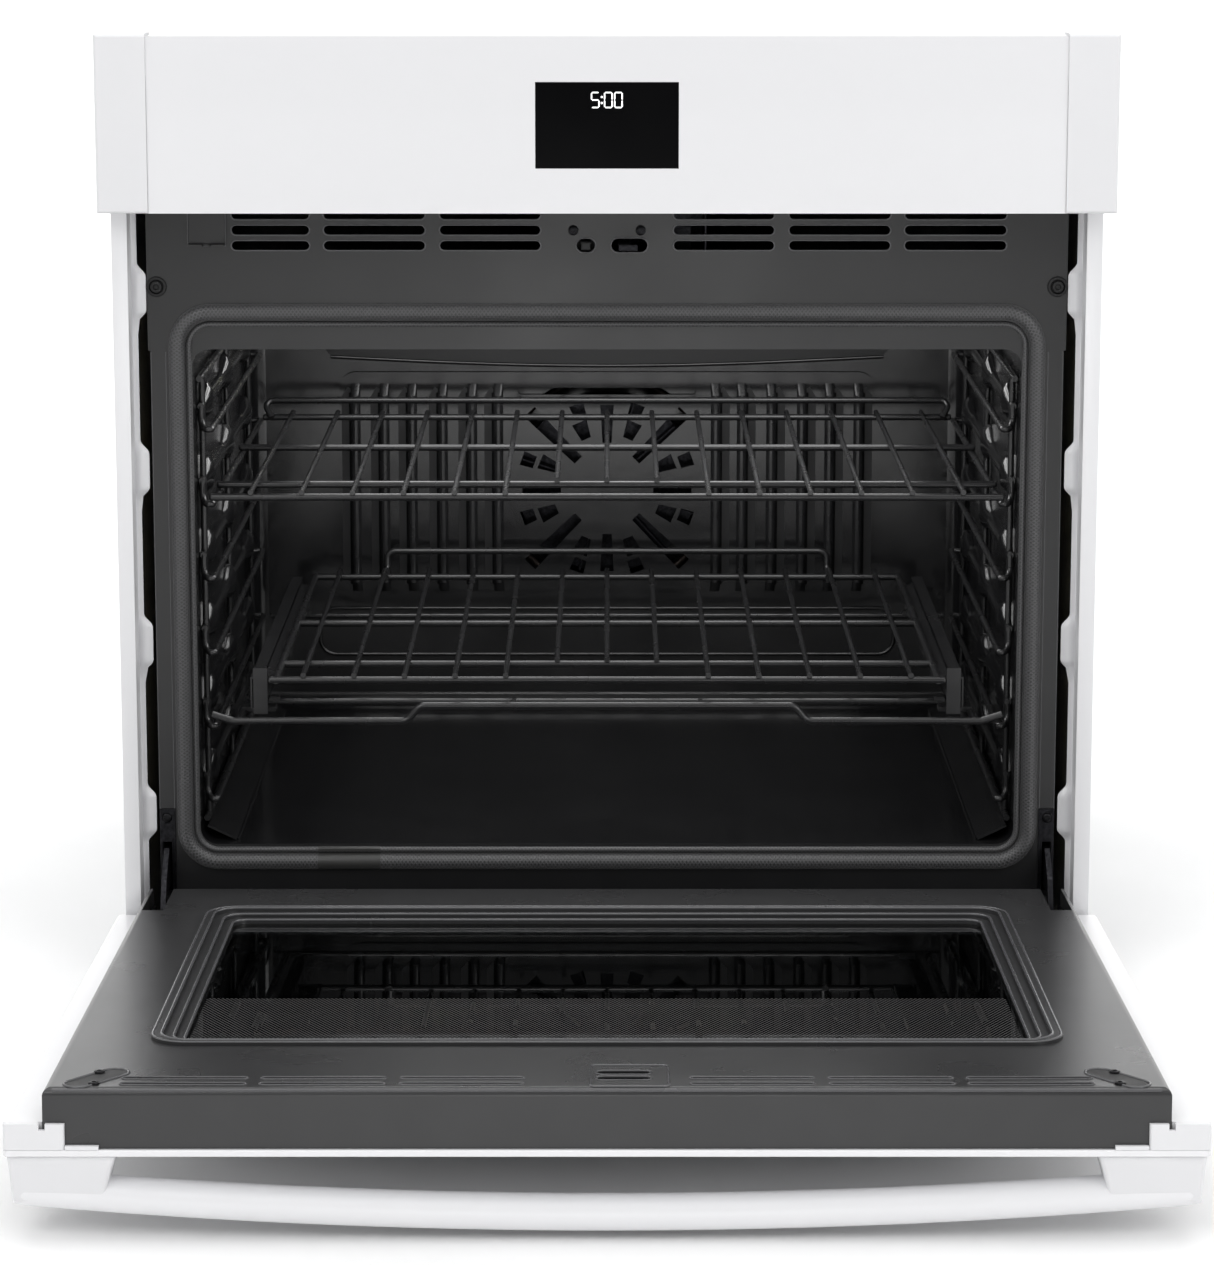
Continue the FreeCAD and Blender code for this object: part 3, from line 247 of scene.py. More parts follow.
def braid():
    # Glass-fibre braid over a hollow silicone core: crossed strands about 1.6 mm apart, drawn at
    # 2.4 mm so that they show, on a tube whose own UV runs along and round it in millimetres.
    made, tree, shader = coating("glass_fibre_braid", Roughness=0.42, Sheen_Weight=0.15,
                                 Coat_Weight=0.25, Coat_Roughness=0.3)
    uv = node(tree, "ShaderNodeUVMap", uv_map="tube_mm")
    heights = []
    for slope in (0.62, -0.62):
        turned_uv = node(tree, "ShaderNodeMapping", {"Rotation": (0, 0, slope)},
                         {"Vector": uv.outputs["UV"]})
        wave = node(tree, "ShaderNodeTexWave", {"Scale": 0.32 / STRAND_MM, "Distortion": 0.4},
                    {"Vector": turned_uv.outputs["Vector"]}, wave_profile="SIN")
        heights.append(wave.outputs["Fac"])
    weave = node(tree, "ShaderNodeMath", links=dict(enumerate(heights)), operation="MAXIMUM")
    # Painted shade: the base colour darkens in the grooves between the strands and is paler on
    # their crowns.
    follow(tree, shader, "Base Color", weave.outputs[0],
           ((0.35, "#1C1C1C"), (0.8, "#383839"), (1.0, "#48484A")))
    follow(tree, shader, "Normal", weave.outputs[0], 0.25)
    return made


def glow(name, colour, strength):
    """Light from behind the display glass, a little uneven as from small diodes."""
    return coating(name, [(0.5, 1, EVEN, {"Emission Color": ((0.3, colour), (0.7, "#FFFFFF"))})],
                   Base_Color=linear(colour), Emission_Strength=strength, Roughness=0.3)[0]


MAKERS = {
    "galvanised_steel": galvanised,
    # Zinc-plated screws: bright, with a fine turned grain.
    "zinc_screws": lambda: metal("bright_zinc_plate", "#D3D3CF", "#A7A7A2", 0.32, 1.2),
    # Moulded nylon: nearly black and matt, with a fine grain.
    "black_plastic": lambda: plastic("black_nylon", "#161617", 0.5),
    # Satin ground-coat enamel: dark grey, blurred reflections, a very fine grain.
    "dark_enamel_frame": lambda: enamel("satin_ground_coat_enamel", "#1B1B1C", 0.3, 1.4, 0.012,
                                        spread_by=0.02, mottled="#1E1E1F"),
    "gasket_braid": braid,
    # Enamelled sheet steel: clean white and glossy, its peel seen only in reflections.
    "white_enamel": lambda: enamel("white_enamel_sheet", "#E3E3E5", 0.3, 3.0, 0.006, coat=0.2,
                                   spread_by=0.01),
    # Moulded silicone rubber: black and dull.
    "black_rubber": lambda: plastic("black_silicone", "#0F0F10", 0.62, 0.7, 0.04),
    # Black zinc on screws: dark, with worn, shinier spots.
    "black_screws": lambda: metal("black_zinc_screw", "#2E2E30", "#1A1A1B", 0.38, 0.8),
    "porcelain_enamel": porcelain,
    "glass_wool": glass_wool,
    # Nickel-alloy heater tube, oxidised by heat: brown-black and half dull.
    "heater_sheath": lambda: metal("oxidised_sheath", "#3B3532", "#1D1A19", 0.5, 3.0),
    # Rolled steel with an aluminium coat: pale grey with lines along the roll.
    "aluminised_steel": lambda: metal("aluminised_sheet", "#B4B5B6", "#8D8E8F", 0.4, 4.0,
                                      (1, 12, 1)),
    # Stacked motor plates: mid grey with the edges of the stack as fine lines.
    "motor_steel": lambda: metal("motor_laminations", "#5A5B5D", "#38393A", 0.45, 1.5,
                                 (1, 1, 10)),
    # Blown heat-proof glass: faintly warm, not quite clear.
    "lamp_glass": lambda: clear_glass("lamp_glass", "#F4F2E6", 0.04),
    "enamelled_wire": enamelled_wire,
    # Enamel on the pressed fan cover: black-grey and semi-gloss, with a soft mottle.
    "enamelled_steel": lambda: enamel("dark_cover_enamel", "#1E1E1F", 0.22, 9.0, 0.03,
                                      mottled="#232324"),
    "white_glass": lambda: painted_glass("white_backed_glass", "#E2E2E4"),
    "black_glass": display_glass,
    # Moulded ABS: white like the enamel but softer in its sheen.
    "white_plastic": lambda: plastic("white_abs", "#DCDCDE", 0.34, 0.9, 0.015),
    # Solder mask over copper: green, with the tracks as a faint mottle.
    "circuit_board": lambda: enamel("solder_mask", "#0E3A1E", 0.4, 2.0, 0.06, mottled="#15502B"),
    # Steel with a black oxide: dark, oily sheen.
    "black_steel": lambda: metal("black_oxide_steel", "#333336", "#1B1B1D", 0.4, 2.0),
    # Pressed bright steel: pale, with drawn lines.
    "bright_steel": lambda: metal("pressed_bright_steel", "#C4C4C2", "#96968F", 0.28, 2.0,
                                  (1, 1, 8)),
    # The satin enamel of the door's inner panel: a little lighter and smoother than the frame.
    "dark_enamel_door": lambda: enamel("satin_door_enamel", "#2D2D2E", 0.28, 1.4, 0.004,
                                       spread_by=0.01, mottled="#303031"),
    # Float glass with a heat-reflecting coat: clear, slightly grey.
    "window_glass": lambda: clear_glass("heat_reflective_glass", "#8C9092", 0.0),
}
FINISH = {}


def finish(slot):
    """The material of one slot of the record, made once."""
    if slot not in FINISH:
        FINISH[slot] = MAKERS[slot]()
    return FINISH[slot]


# ---------------------------------------------------------------- shapes

def piece(name, mesh, body, slot, replaces=(), material=None):
    """Links a finished mesh as one piece riding on a body."""
    made = bpy.data.objects.new(name, mesh)
    bpy.context.scene.collection.objects.link(made)
    mesh.materials.clear()
    mesh.materials.append(material or finish(slot))
    mesh.polygons.foreach_set("use_smooth", [True] * len(mesh.polygons))
    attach(made, body)
    if replaces:
        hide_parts(*replaces)
    return made


def soften(mesh, angle=35):
    """Smooth shading with edges sharper than angle kept sharp."""
    mesh.polygons.foreach_set("use_smooth", [True] * len(mesh.polygons))
    mesh.set_sharp_from_angle(angle=math.radians(angle))


def from_bmesh(name, bm, scale=MM, door=False):
    """A mesh in metres from millimetres; on the door it is turned from shut to open."""
    bmesh.ops.remove_doubles(bm, verts=bm.verts, dist=1e-4)
    bmesh.ops.recalc_face_normals(bm, faces=bm.faces)
    mesh = bpy.data.meshes.new(name)
    bm.to_mesh(mesh)
    bm.free()
    mesh.transform(Matrix.Scale(scale, 4))
    if door:
        mesh.transform(open_door())
    soften(mesh)
    return mesh


def open_door():
    """Turns the shut door's coordinates to where the door is at rest."""
    return (Matrix.Translation(HINGE) @ Matrix.Rotation(math.radians(OPEN_DEG), 4, "X")
            @ Matrix.Translation(-HINGE))


def on_door(x, s, t):
    """A point of the shut door in mm: s up from its lower edge, t in from its outer face."""
    return Vector((x, DOOR_FACE + t, DOOR_LOW + s))


def obround(half_x, half_z, steps=8):
    """Corner points of a slot with round ends, in its own plane, anticlockwise."""
    reach = half_x - half_z
    points = []
    for side, start in ((1, -90), (-1, 90)):
        for i in range(steps + 1):
            a = math.radians(start + 180 * i / steps)
            points.append((side * reach + half_z * math.cos(a), half_z * math.sin(a)))
    return points


def rounded(half_x, half_z, radius, steps=6):
    """Corner points of a rectangle with round corners."""
    points = []
    for k, (sx, sz) in enumerate(((1, 1), (-1, 1), (-1, -1), (1, -1))):
        for i in range(steps + 1):
            a = math.radians(90 * k + 90 * i / steps)
            points.append((sx * (half_x - radius) + radius * math.cos(a),
                           sz * (half_z - radius) + radius * math.sin(a)))
    return points


def ring_mesh(name, rows, closed_rows=True, door=False):
    """A skin over rows of points in mm, each row closed; the rows also join end to start if
    closed_rows is true, and the ends are filled if it isn't."""
    bm = bmesh.new()
    made = [[bm.verts.new(p) for p in row] for row in rows]
    count = len(made[0])
    pairs = list(zip(made, made[1:])) + ([(made[-1], made[0])] if closed_rows else [])
    for a, b in pairs:
        for i in range(count):
            j = (i + 1) % count
            bm.faces.new((a[i], a[j], b[j], b[i]))
    if not closed_rows:
        bm.faces.new(made[0])
        bm.faces.new(list(reversed(made[-1])))
    return from_bmesh(name, bm, door=door)


def slab(bm, outline, y0, y1):
    """A flat plate: outline is (x, z) points, from y0 to y1."""
    front = [bm.verts.new((x, y0, z)) for x, z in outline]
    back = [bm.verts.new((x, y1, z)) for x, z in outline]
    bm.faces.new(front)
    bm.faces.new(list(reversed(back)))
    for i in range(len(outline)):
        j = (i + 1) % len(outline)
        bm.faces.new((front[i], front[j], back[j], back[i]))


def turned(profile, steps=24):
    """A lathe round Z: profile is (radius, height) points from the middle of one end to the
    middle of the other."""
    bm = bmesh.new()
    rows = []
    for radius, height in profile:
        if radius == 0:
            rows.append([bm.verts.new((0, 0, height))])
        else:
            rows.append([bm.verts.new((radius * math.cos(2 * math.pi * i / steps),
                                       radius * math.sin(2 * math.pi * i / steps), height))
                         for i in range(steps)])
    for a, b in zip(rows, rows[1:]):
        for i in range(steps):
            j = (i + 1) % steps
            if len(a) == 1 and len(b) > 1:
                bm.faces.new((a[0], b[i], b[j]))
            elif len(b) == 1 and len(a) > 1:
                bm.faces.new((a[i], a[j], b[0]))
            elif len(a) > 1:
                bm.faces.new((a[i], a[j], b[j], b[i]))
    return bm


# ---------------------------------------------------------------- node trees

def new_tree(name, sockets):
    """A geometry tree with named inputs: (label, socket type, default)."""
    tree = bpy.data.node_groups.new(name, "GeometryNodeTree")
    tree.interface.new_socket("Geometry", in_out="OUTPUT", socket_type="NodeSocketGeometry")
    tree.interface.new_socket("Geometry", in_out="INPUT", socket_type="NodeSocketGeometry")
    for label, kind, default in sockets:
        made = tree.interface.new_socket(label, in_out="INPUT", socket_type=kind)
        if default is not None:
            made.default_value = default
    return tree, node(tree, "NodeGroupInput").outputs, node(tree, "NodeGroupOutput")


def end_tree(tree, given, sink, shape):
    """Realize Instances and Set Material, the end of every tree."""
    real = node(tree, "GeometryNodeRealizeInstances", links={"Geometry": shape})
    coated = node(tree, "GeometryNodeSetMaterial",
                  links={"Geometry": real.outputs["Geometry"], "Material": given["Finish"]})
    tree.links.new(coated.outputs["Geometry"], sink.inputs["Geometry"])
    return tree


def bent_wire_tree():
    """Sweeps a round wire along every chain of edges."""
    tree, given, sink = new_tree("bent_wire", (
        ("Radius", "NodeSocketFloat", 0.001), ("Sides", "NodeSocketInt", 8),
        ("Finish", "NodeSocketMaterial", None)))
    path = node(tree, "GeometryNodeMeshToCurve", links={"Mesh": given["Geometry"]})
    section = node(tree, "GeometryNodeCurvePrimitiveCircle",
                   links={"Radius": given["Radius"], "Resolution": given["Sides"]})
    swept = node(tree, "GeometryNodeCurveToMesh", {"Fill Caps": True},
                 {"Curve": path.outputs["Curve"], "Profile Curve": section.outputs["Curve"]})
    return end_tree(tree, given, sink, swept.outputs["Mesh"])


def set_parts_tree():
    """Sets a copy of one part on every point, its Z axis along the point's facing."""
    tree, given, sink = new_tree("set_parts", (
        ("Part", "NodeSocketObject", None), ("Size", "NodeSocketFloat", 1.0),
        ("Turn Seed", "NodeSocketInt", 7), ("Turn", "NodeSocketFloat", 0.0),
        ("Finish", "NodeSocketMaterial", None)))
    part = node(tree, "GeometryNodeObjectInfo", {"As Instance": True}, {"Object": given["Part"]})
    facing = node(tree, "GeometryNodeInputNamedAttribute", {"Name": "facing"},
                  data_type="FLOAT_VECTOR")
    aim = node(tree, "FunctionNodeAlignRotationToVector",
               links={"Vector": facing.outputs["Attribute"]}, axis="Z")
    spin = node(tree, "FunctionNodeRandomValue",
                links={"Seed": given["Turn Seed"]}, data_type="FLOAT")
    spin_amount = node(tree, "ShaderNodeMath", links={0: spin.outputs[1], 1: given["Turn"]},
                       operation="MULTIPLY")
    about = node(tree, "ShaderNodeCombineXYZ", links={"Z": spin_amount.outputs[0]})
    placed = node(tree, "GeometryNodeInstanceOnPoints",
                  links={"Points": given["Geometry"], "Instance": part.outputs["Geometry"],
                         "Rotation": aim.outputs["Rotation"], "Scale": given["Size"]})
    spun = node(tree, "GeometryNodeRotateInstances",
                links={"Instances": placed.outputs["Instances"],
                       "Rotation": about.outputs["Vector"]})
    return end_tree(tree, given, sink, spun.outputs["Instances"])


def dot_screen_tree():
    """A screen of round dots over a grid of points."""
    tree, given, sink = new_tree("dot_screen", (
        ("Dot Radius", "NodeSocketFloat", 0.0006), ("Sides", "NodeSocketInt", 6),
        ("Finish", "NodeSocketMaterial", None)))
    dot = node(tree, "GeometryNodeMeshCircle",
               links={"Radius": given["Dot Radius"], "Vertices": given["Sides"]},
               fill_type="NGON")
    facing = node(tree, "GeometryNodeInputNamedAttribute", {"Name": "facing"},
                  data_type="FLOAT_VECTOR")
    aim = node(tree, "FunctionNodeAlignRotationToVector",
               links={"Vector": facing.outputs["Attribute"]}, axis="Z")
    placed = node(tree, "GeometryNodeInstanceOnPoints",
                  links={"Points": given["Geometry"], "Instance": dot.outputs["Mesh"],
                         "Rotation": aim.outputs["Rotation"]})
    return end_tree(tree, given, sink, placed.outputs["Instances"])


TREES = {}


def grown(name, maker, mesh, values):
    """Runs a geometry tree on a carrier mesh and returns the plain mesh it makes."""
    if maker not in TREES:
        TREES[maker] = maker()
    tree = TREES[maker]
    carrier = bpy.data.objects.new(name + "_carrier", mesh)
    bpy.context.scene.collection.objects.link(carrier)
    modifier = carrier.modifiers.new("tree", "NODES")
    modifier.node_group = tree
    keys = {i.name: i.identifier for i in tree.interface.items_tree if i.in_out == "INPUT"}
    for label, value in values.items():
        modifier[keys[label]] = value
    bpy.context.view_layer.update()
    shape = carrier.evaluated_get(bpy.context.evaluated_depsgraph_get())
    result = bpy.data.meshes.new_from_object(shape)
    carrier.modifiers.remove(modifier)
    bpy.data.objects.remove(carrier)
    result.name = name
    soften(result, 50)
    return result


def chains(name, lines, door=False):
    """A mesh of bare edges from lines of points in mm; a closed line repeats its first point."""
    points, edges = [], []
    for line in lines:
        closed = (Vector(line[0]) - Vector(line[-1])).length < 1e-6
        body = line[:-1] if closed else line
        start = len(points)
        points += [Vector(p) * MM for p in body]
        edges += [(start + i, start + i + 1) for i in range(len(body) - 1)]
        if closed:
            edges.append((start + len(body) - 1, start))
    mesh = bpy.data.meshes.new(name)
    mesh.from_pydata(points, edges, [])
    if door:
        mesh.transform(open_door())
    return mesh


def spots(name, places, door=False):
    """A mesh of bare points in mm, each with the way it faces."""
    turn = open_door() if door else Matrix.Identity(4)
    mesh = bpy.data.meshes.new(name)
    mesh.from_pydata([turn @ (Vector(p) * MM) for p, _ in places], [], [])
    facing = mesh.attributes.new("facing", "FLOAT_VECTOR", "POINT")
    for item, (_, way) in zip(facing.data, places):
        item.vector = turn.to_3x3() @ Vector(way)
    return mesh


def wires(name, lines, radius, slot, body="root", sides=8, door=False, replaces=(),
          finish_too=None):
    """Round wires along lines, finished as their slot or with a finish of their own."""
    material = finish_too or finish(slot)
    mesh = grown(name, bent_wire_tree, chains(name, lines, door),
                 {"Radius": radius * MM, "Sides": sides, "Finish": material})
    return piece(name, mesh, body, slot, replaces, material)


def set_out(name, bm, places, slot, body="root", door=False, replaces=(), size=1.0, turn=0.0):
    """Copies of one small part, each set on a place and facing its own way."""
    part_mesh = from_bmesh(name + "_part", bm)
    part = bpy.data.objects.new(name + "_part", part_mesh)
    mesh = grown(name, set_parts_tree, spots(name, places, door),
                 {"Part": part, "Size": size, "Turn": turn, "Finish": finish(slot)})
    bpy.data.objects.remove(part)
    made = piece(name, mesh, body, slot, replaces)
    soften(mesh, 30)
    return made


def loop_at(outline, y, x=0.0, z=0.0, turn=0.0):
    """A closed line in a plane of constant Y from an (x, z) outline."""
    c, s = math.cos(turn), math.sin(turn)
    points = [(x + c * a - s * b, y, z + s * a + c * b) for a, b in outline]
    return points + points[:1]


def screw_head(radius, height, shank=3.0, lobes=6, socket=0.42, depth=0.8):
    """A pan head with a six-lobed socket, its seat at Z = 0 and its crown along +Z."""
    steps = 36
    bm = bmesh.new()
    rows = []
    for share, level in ((0.45, -shank), (0.45, 0.0), (1.0, 0.0), (1.0, 0.35), (0.93, 0.72),
                         (0.74, 0.95)):
        top = height * level if level > 0 else level
        rows.append([(radius * share, top)] * steps)
    for share, top in ((1.0, height), (1.0, height - depth), (0.55, height - depth)):
        row = []
        for i in range(steps):
            wave = 1.0 + 0.16 * math.cos(lobes * 2 * math.pi * i / steps)
            row.append((radius * socket * share * wave, top))
        rows.append(row)
    made = []
    for row in rows:
        made.append([bm.verts.new((r * math.cos(2 * math.pi * i / steps),
                                   r * math.sin(2 * math.pi * i / steps), z))
                     for i, (r, z) in enumerate(row)])
    for a, b in zip(made, made[1:]):
        for i in range(steps):
            j = (i + 1) % steps
            bm.faces.new((a[i], a[j], b[j], b[i]))
    bm.faces.new(list(reversed(made[0])))
    bm.faces.new(made[-1])
    return bm


# ---------------------------------------------------------------- operators

class OvenFinishes(bpy.types.Operator):
    """Gives every part of the frame its finish"""
    bl_idname = "oven.finishes"
    bl_label = "Finishes"

    def execute(self, context):
        slots = {p["node"]: p["material_slot"] for p in frame["record"]["subparts"]}
        for name, part in frame["nodes"].items():
            material = finish(slots[name])
            if not part.data.materials:
                part.data.materials.append(material)
            for index in range(len(part.material_slots)):
                part.material_slots[index].material = material
        return {"FINISHED"}


class OvenStage(bpy.types.Operator):
    """Pale floor, soft lights and the camera"""
    bl_idname = "oven.stage"
    bl_label = "Stage"

    def execute(self, context):
        s = context.scene.oven_stage
        scene = context.scene
        scene.view_settings.view_transform = "Standard"
        world = bpy.data.worlds.new("studio")
        world.use_nodes = True
        sky = world.node_tree
        way = node(sky, "ShaderNodeSeparateXYZ",
                   links={"Vector": node(sky, "ShaderNodeTexCoord").outputs["Generated"]})
        fade = node(sky, "ShaderNodeMapRange",
                    {"From Min": -0.9, "From Max": 0.5, "To Min": s.dark_side, "To Max": 1.0},
                    {"Value": way.outputs["Y"]})
        sky.links.new(fade.outputs["Result"], sky.nodes["Background"].inputs["Color"])
        sky.nodes["Background"].inputs["Strength"].default_value = s.surround
        scene.world = world

        bm = bmesh.new()
        size, bend, wall = 9.0, 1.2, 4.0
        line = [(-size, 0.0)]
        for i in range(13):
            a = math.radians(90 * i / 12)
            line.append((3.0 + bend * math.sin(a), bend - bend * math.cos(a)))
        line.append((3.0 + bend, wall))
        rows = [[bm.verts.new((x, y, z + s.floor_height)) for y, z in line] for x in (-size, size)]
        for i in range(len(line) - 1):
            bm.faces.new((rows[0][i], rows[0][i + 1], rows[1][i + 1], rows[1][i]))
        floor_mesh = from_bmesh("studio_floor", bm, 1.0)
        floor = bpy.data.objects.new("studio_floor", floor_mesh)
        scene.collection.objects.link(floor)
        # Painted studio board: white and matt, with slow changes of tone.
        floor_mesh.materials.append(coating(
            "painted_board", [(400, 2, EVEN, {"Base Color": ((0.3, "#F4F4F4"), (0.7, "#FBFBFB"))})],
            Roughness=0.8)[0])

        for name, place_at, aim, width, height, power in (
            ("key", (-1.6, -3.0, 2.6), (0, 0, 0.3), 2.2, 1.6, s.key_power),
            ("fill", (2.2, -2.6, 1.8), (0, 0, 0.3), 1.8, 1.8, s.fill_power),
            ("top", (0, -0.6, 3.0), (0, 0, 0.3), 3.0, 2.0, s.top_power),
            ("card", (0, -3.0, 0.12), (0, 0, 0.12), 0.6, 0.2, s.card_power),
            ("cavity", (0, 0.22, 0.515), (0, 0.24, 0.1), 0.5, 0.3, s.cavity_power),
            ("wall", (0, 1.3, 2.9), (0, 4.2, 0.9), 5.0, 1.0, s.wall_power),
        ):
            data = bpy.data.lights.new(name, "AREA")
            data.shape, data.size, data.size_y, data.energy = "RECTANGLE", width, height, power
            lamp = bpy.data.objects.new(name, data)
            lamp.location = place_at
            toward = Vector(aim) - Vector(place_at)
            lamp.rotation_euler = toward.to_track_quat("-Z", "Y").to_euler()
            scene.collection.objects.link(lamp)

        data = bpy.data.cameras.new("camera")
        data.lens, data.sensor_width = s.focal, 36.0
        data.shift_y = s.shift
        data.clip_start, data.clip_end = 0.1, 50.0
        camera = bpy.data.objects.new("camera", data)
        camera.location = (0.0, s.distance, s.height)
        camera.rotation_euler = (math.radians(90.0 - s.pitch), 0.0, 0.0)
        scene.collection.objects.link(camera)
        scene.camera = camera
        return {"FINISHED"}


class OvenStageSettings(bpy.types.PropertyGroup):
    focal: FloatProperty(name="Lens", description="Focal length", default=108.7, min=20.0,
                         unit="CAMERA")
    shift: FloatProperty(name="Shift", description="Upward shift of the view", default=-0.12)
    distance: FloatProperty(name="Distance", description="Camera's place in front of the cabinet",
                            default=-2.851, unit="LENGTH")
    height: FloatProperty(name="Height", description="Camera's height", default=0.8801,
                          unit="LENGTH")
    pitch: FloatProperty(name="Tilt", description="Degrees that the camera looks down",
                         default=9.78)
    floor_height: FloatProperty(name="Floor", description="Height of the studio floor",
                                default=CAD_BOX[0][2] - 0.002, unit="LENGTH")
    surround: FloatProperty(name="Surround", description="Brightness of the studio", default=1.05)
    dark_side: FloatProperty(name="Dark side", default=0.3,
                             description="Brightness of the room behind the camera")
    key_power: FloatProperty(name="Key light", description="Power of the key light", default=38.0,
                             unit="POWER")
    fill_power: FloatProperty(name="Fill light", description="Power of the fill light",
                              default=30.0, unit="POWER")
    card_power: FloatProperty(name="Front card", default=2.4, unit="POWER",
                              description="Power of the low card that the dark frame reflects")
    cavity_power: FloatProperty(name="Cavity light", default=2.4, unit="POWER",
                                description="Power of the glow from the cavity's ceiling")
    wall_power: FloatProperty(name="Wall light", default=110.0, unit="POWER",
                              description="Power of the light on the backdrop")
    top_power: FloatProperty(name="Top light", description="Power of the overhead light",
                             default=30.0, unit="POWER")


class OvenSettings(bpy.types.PropertyGroup):
    rim: FloatProperty(name="Vent rim", description="Radius of the bead round a vent slot",
                       default=0.55 * MM, unit="LENGTH")
    digit_height: FloatProperty(name="Digit height", description="Height of the clock's digits",
                                default=11.0 * MM, unit="LENGTH")
    digit_colour: FloatVectorProperty(name="Digit colour", description="Colour of the clock",
                                      default=(1.0, 1.0, 1.0), size=3, subtype="COLOR")
    hour: IntProperty(name="Hour", description="The hour that the clock shows", default=5, min=0,
                      max=9)
    handle_bow: FloatProperty(name="Handle bow", description="How far the handle bows outwards",
                              default=16.5 * MM, unit="LENGTH")
    dot_pitch: FloatProperty(name="Dot pitch", description="Distance between the glass's dots",
                             default=3.0 * MM, unit="LENGTH")
    bulge: FloatProperty(name="Tab bulge", description="How far a side trim's tab stands out",
                         default=3.6 * MM, unit="LENGTH")


class OvenGasket(bpy.types.Operator):
    """Braided tube seal round the mouth, with its splice sleeve"""
    bl_idname = "oven.gasket"
    bl_label = "Door seal"

    def execute(self, context):
        lo, hi = (Vector(p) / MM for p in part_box("door_gasket"))
        width, back, front = 17.6, 22.5, lo.y
        half, mid = hi.x - width / 2, (lo.z + hi.z) / 2
        half_z = hi.z - width / 2 - mid
        # (across, forward) points: a bulb on the outer side, a groove, and a thin lip inside
        section = []
        for i in range(17):
            a = math.pi * i / 16
            section.append((2.4 + 6.4 * math.cos(a), (back - front) * math.sin(a) ** 0.8))
        section += [(-4.6, 1.2), (-5.0, 2.2), (-6.0, 3.3), (-7.6, 3.3), (-8.5, 2.2), (-8.8, 0.0)]
        corner, straight = 23.2, 30
        outline = []
        for k, (sx, sz) in enumerate(((1, 1), (-1, 1), (-1, -1), (1, -1))):
            for i in range(17):
                a = math.radians(90 * k + 90 * i / 16)
                outline.append(((sx * (half - corner), sz * (half_z - corner)),
                                (math.cos(a), math.sin(a)), corner))
        path = []
        for (centre, way, radius), following in zip(outline, outline[1:] + outline[:1]):
            path.append((centre[0] + way[0] * radius, centre[1] + way[1] * radius, way))
            start, end = path[-1], (following[0][0] + following[1][0] * radius,
                                    following[0][1] + following[1][1] * radius)
            if math.hypot(end[0] - start[0], end[1] - start[1]) > 60:
                for i in range(1, straight):
                    f = i / straight
                    path.append((start[0] + (end[0] - start[0]) * f,
                                 start[1] + (end[1] - start[1]) * f, way))
        rows = []
        for x, z, way in path:
            rows.append([(x + way[0] * a, back - b, mid + z + way[1] * a) for a, b in section])
        bm = bmesh.new()
        uv_layer = bm.loops.layers.uv.new("tube_mm")
        made = [[bm.verts.new(p) for p in row] for row in rows]
        along = [0.0]
        for a, b in zip(path, path[1:] + path[:1]):
            along.append(along[-1] + math.hypot(b[0] - a[0], b[1] - a[1]))
        count = len(section)
        round_it = [0.0]
        for a, b in zip(section, section[1:] + section[:1]):
            round_it.append(round_it[-1] + math.hypot(b[0] - a[0], b[1] - a[1]))
        for r in range(len(made)):
            after = made[(r + 1) % len(made)]
            for i in range(count):
                j = (i + 1) % count
                face = bm.faces.new((made[r][i], made[r][j], after[j], after[i]))
                for loop, (u, v) in zip(face.loops, (
                        (along[r], round_it[i]), (along[r], round_it[i + 1]),
                        (along[r + 1], round_it[i + 1]), (along[r + 1], round_it[i]))):
                    loop[uv_layer].uv = (u, v)
        mesh = from_bmesh("seal_tube", bm)
        piece("seal_tube", mesh, "root", "gasket_braid", ("door_gasket",))
        soften(mesh, 55)

        sleeve_low, sleeve_high = (Vector(p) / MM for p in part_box("gasket_splice"))
        rows = []
        for n, x in enumerate((0.0, 0.012, 0.03, 0.97, 0.988, 1.0)):
            swell = (0.25, 0.38, 0.45, 0.45, 0.38, 0.25)[n]
            at = sleeve_low.x + (sleeve_high.x - sleeve_low.x) * x
            rows.append([(at, back - b * (1 + swell / 8), mid - half_z - a * (1 + swell / 10))
                         for a, b in section])
        mesh = ring_mesh("seal_sleeve", rows, closed_rows=False)
        # Moulded silicone over the seam: smooth, and a little paler than the braid.
        sleeve = plastic("silicone_sleeve", "#333332", 0.42, 1.2, 0.03)
        piece("seal_sleeve", mesh, "root", "gasket_braid", ("gasket_splice",), sleeve)
        soften(mesh, 40)
        return {"FINISHED"}


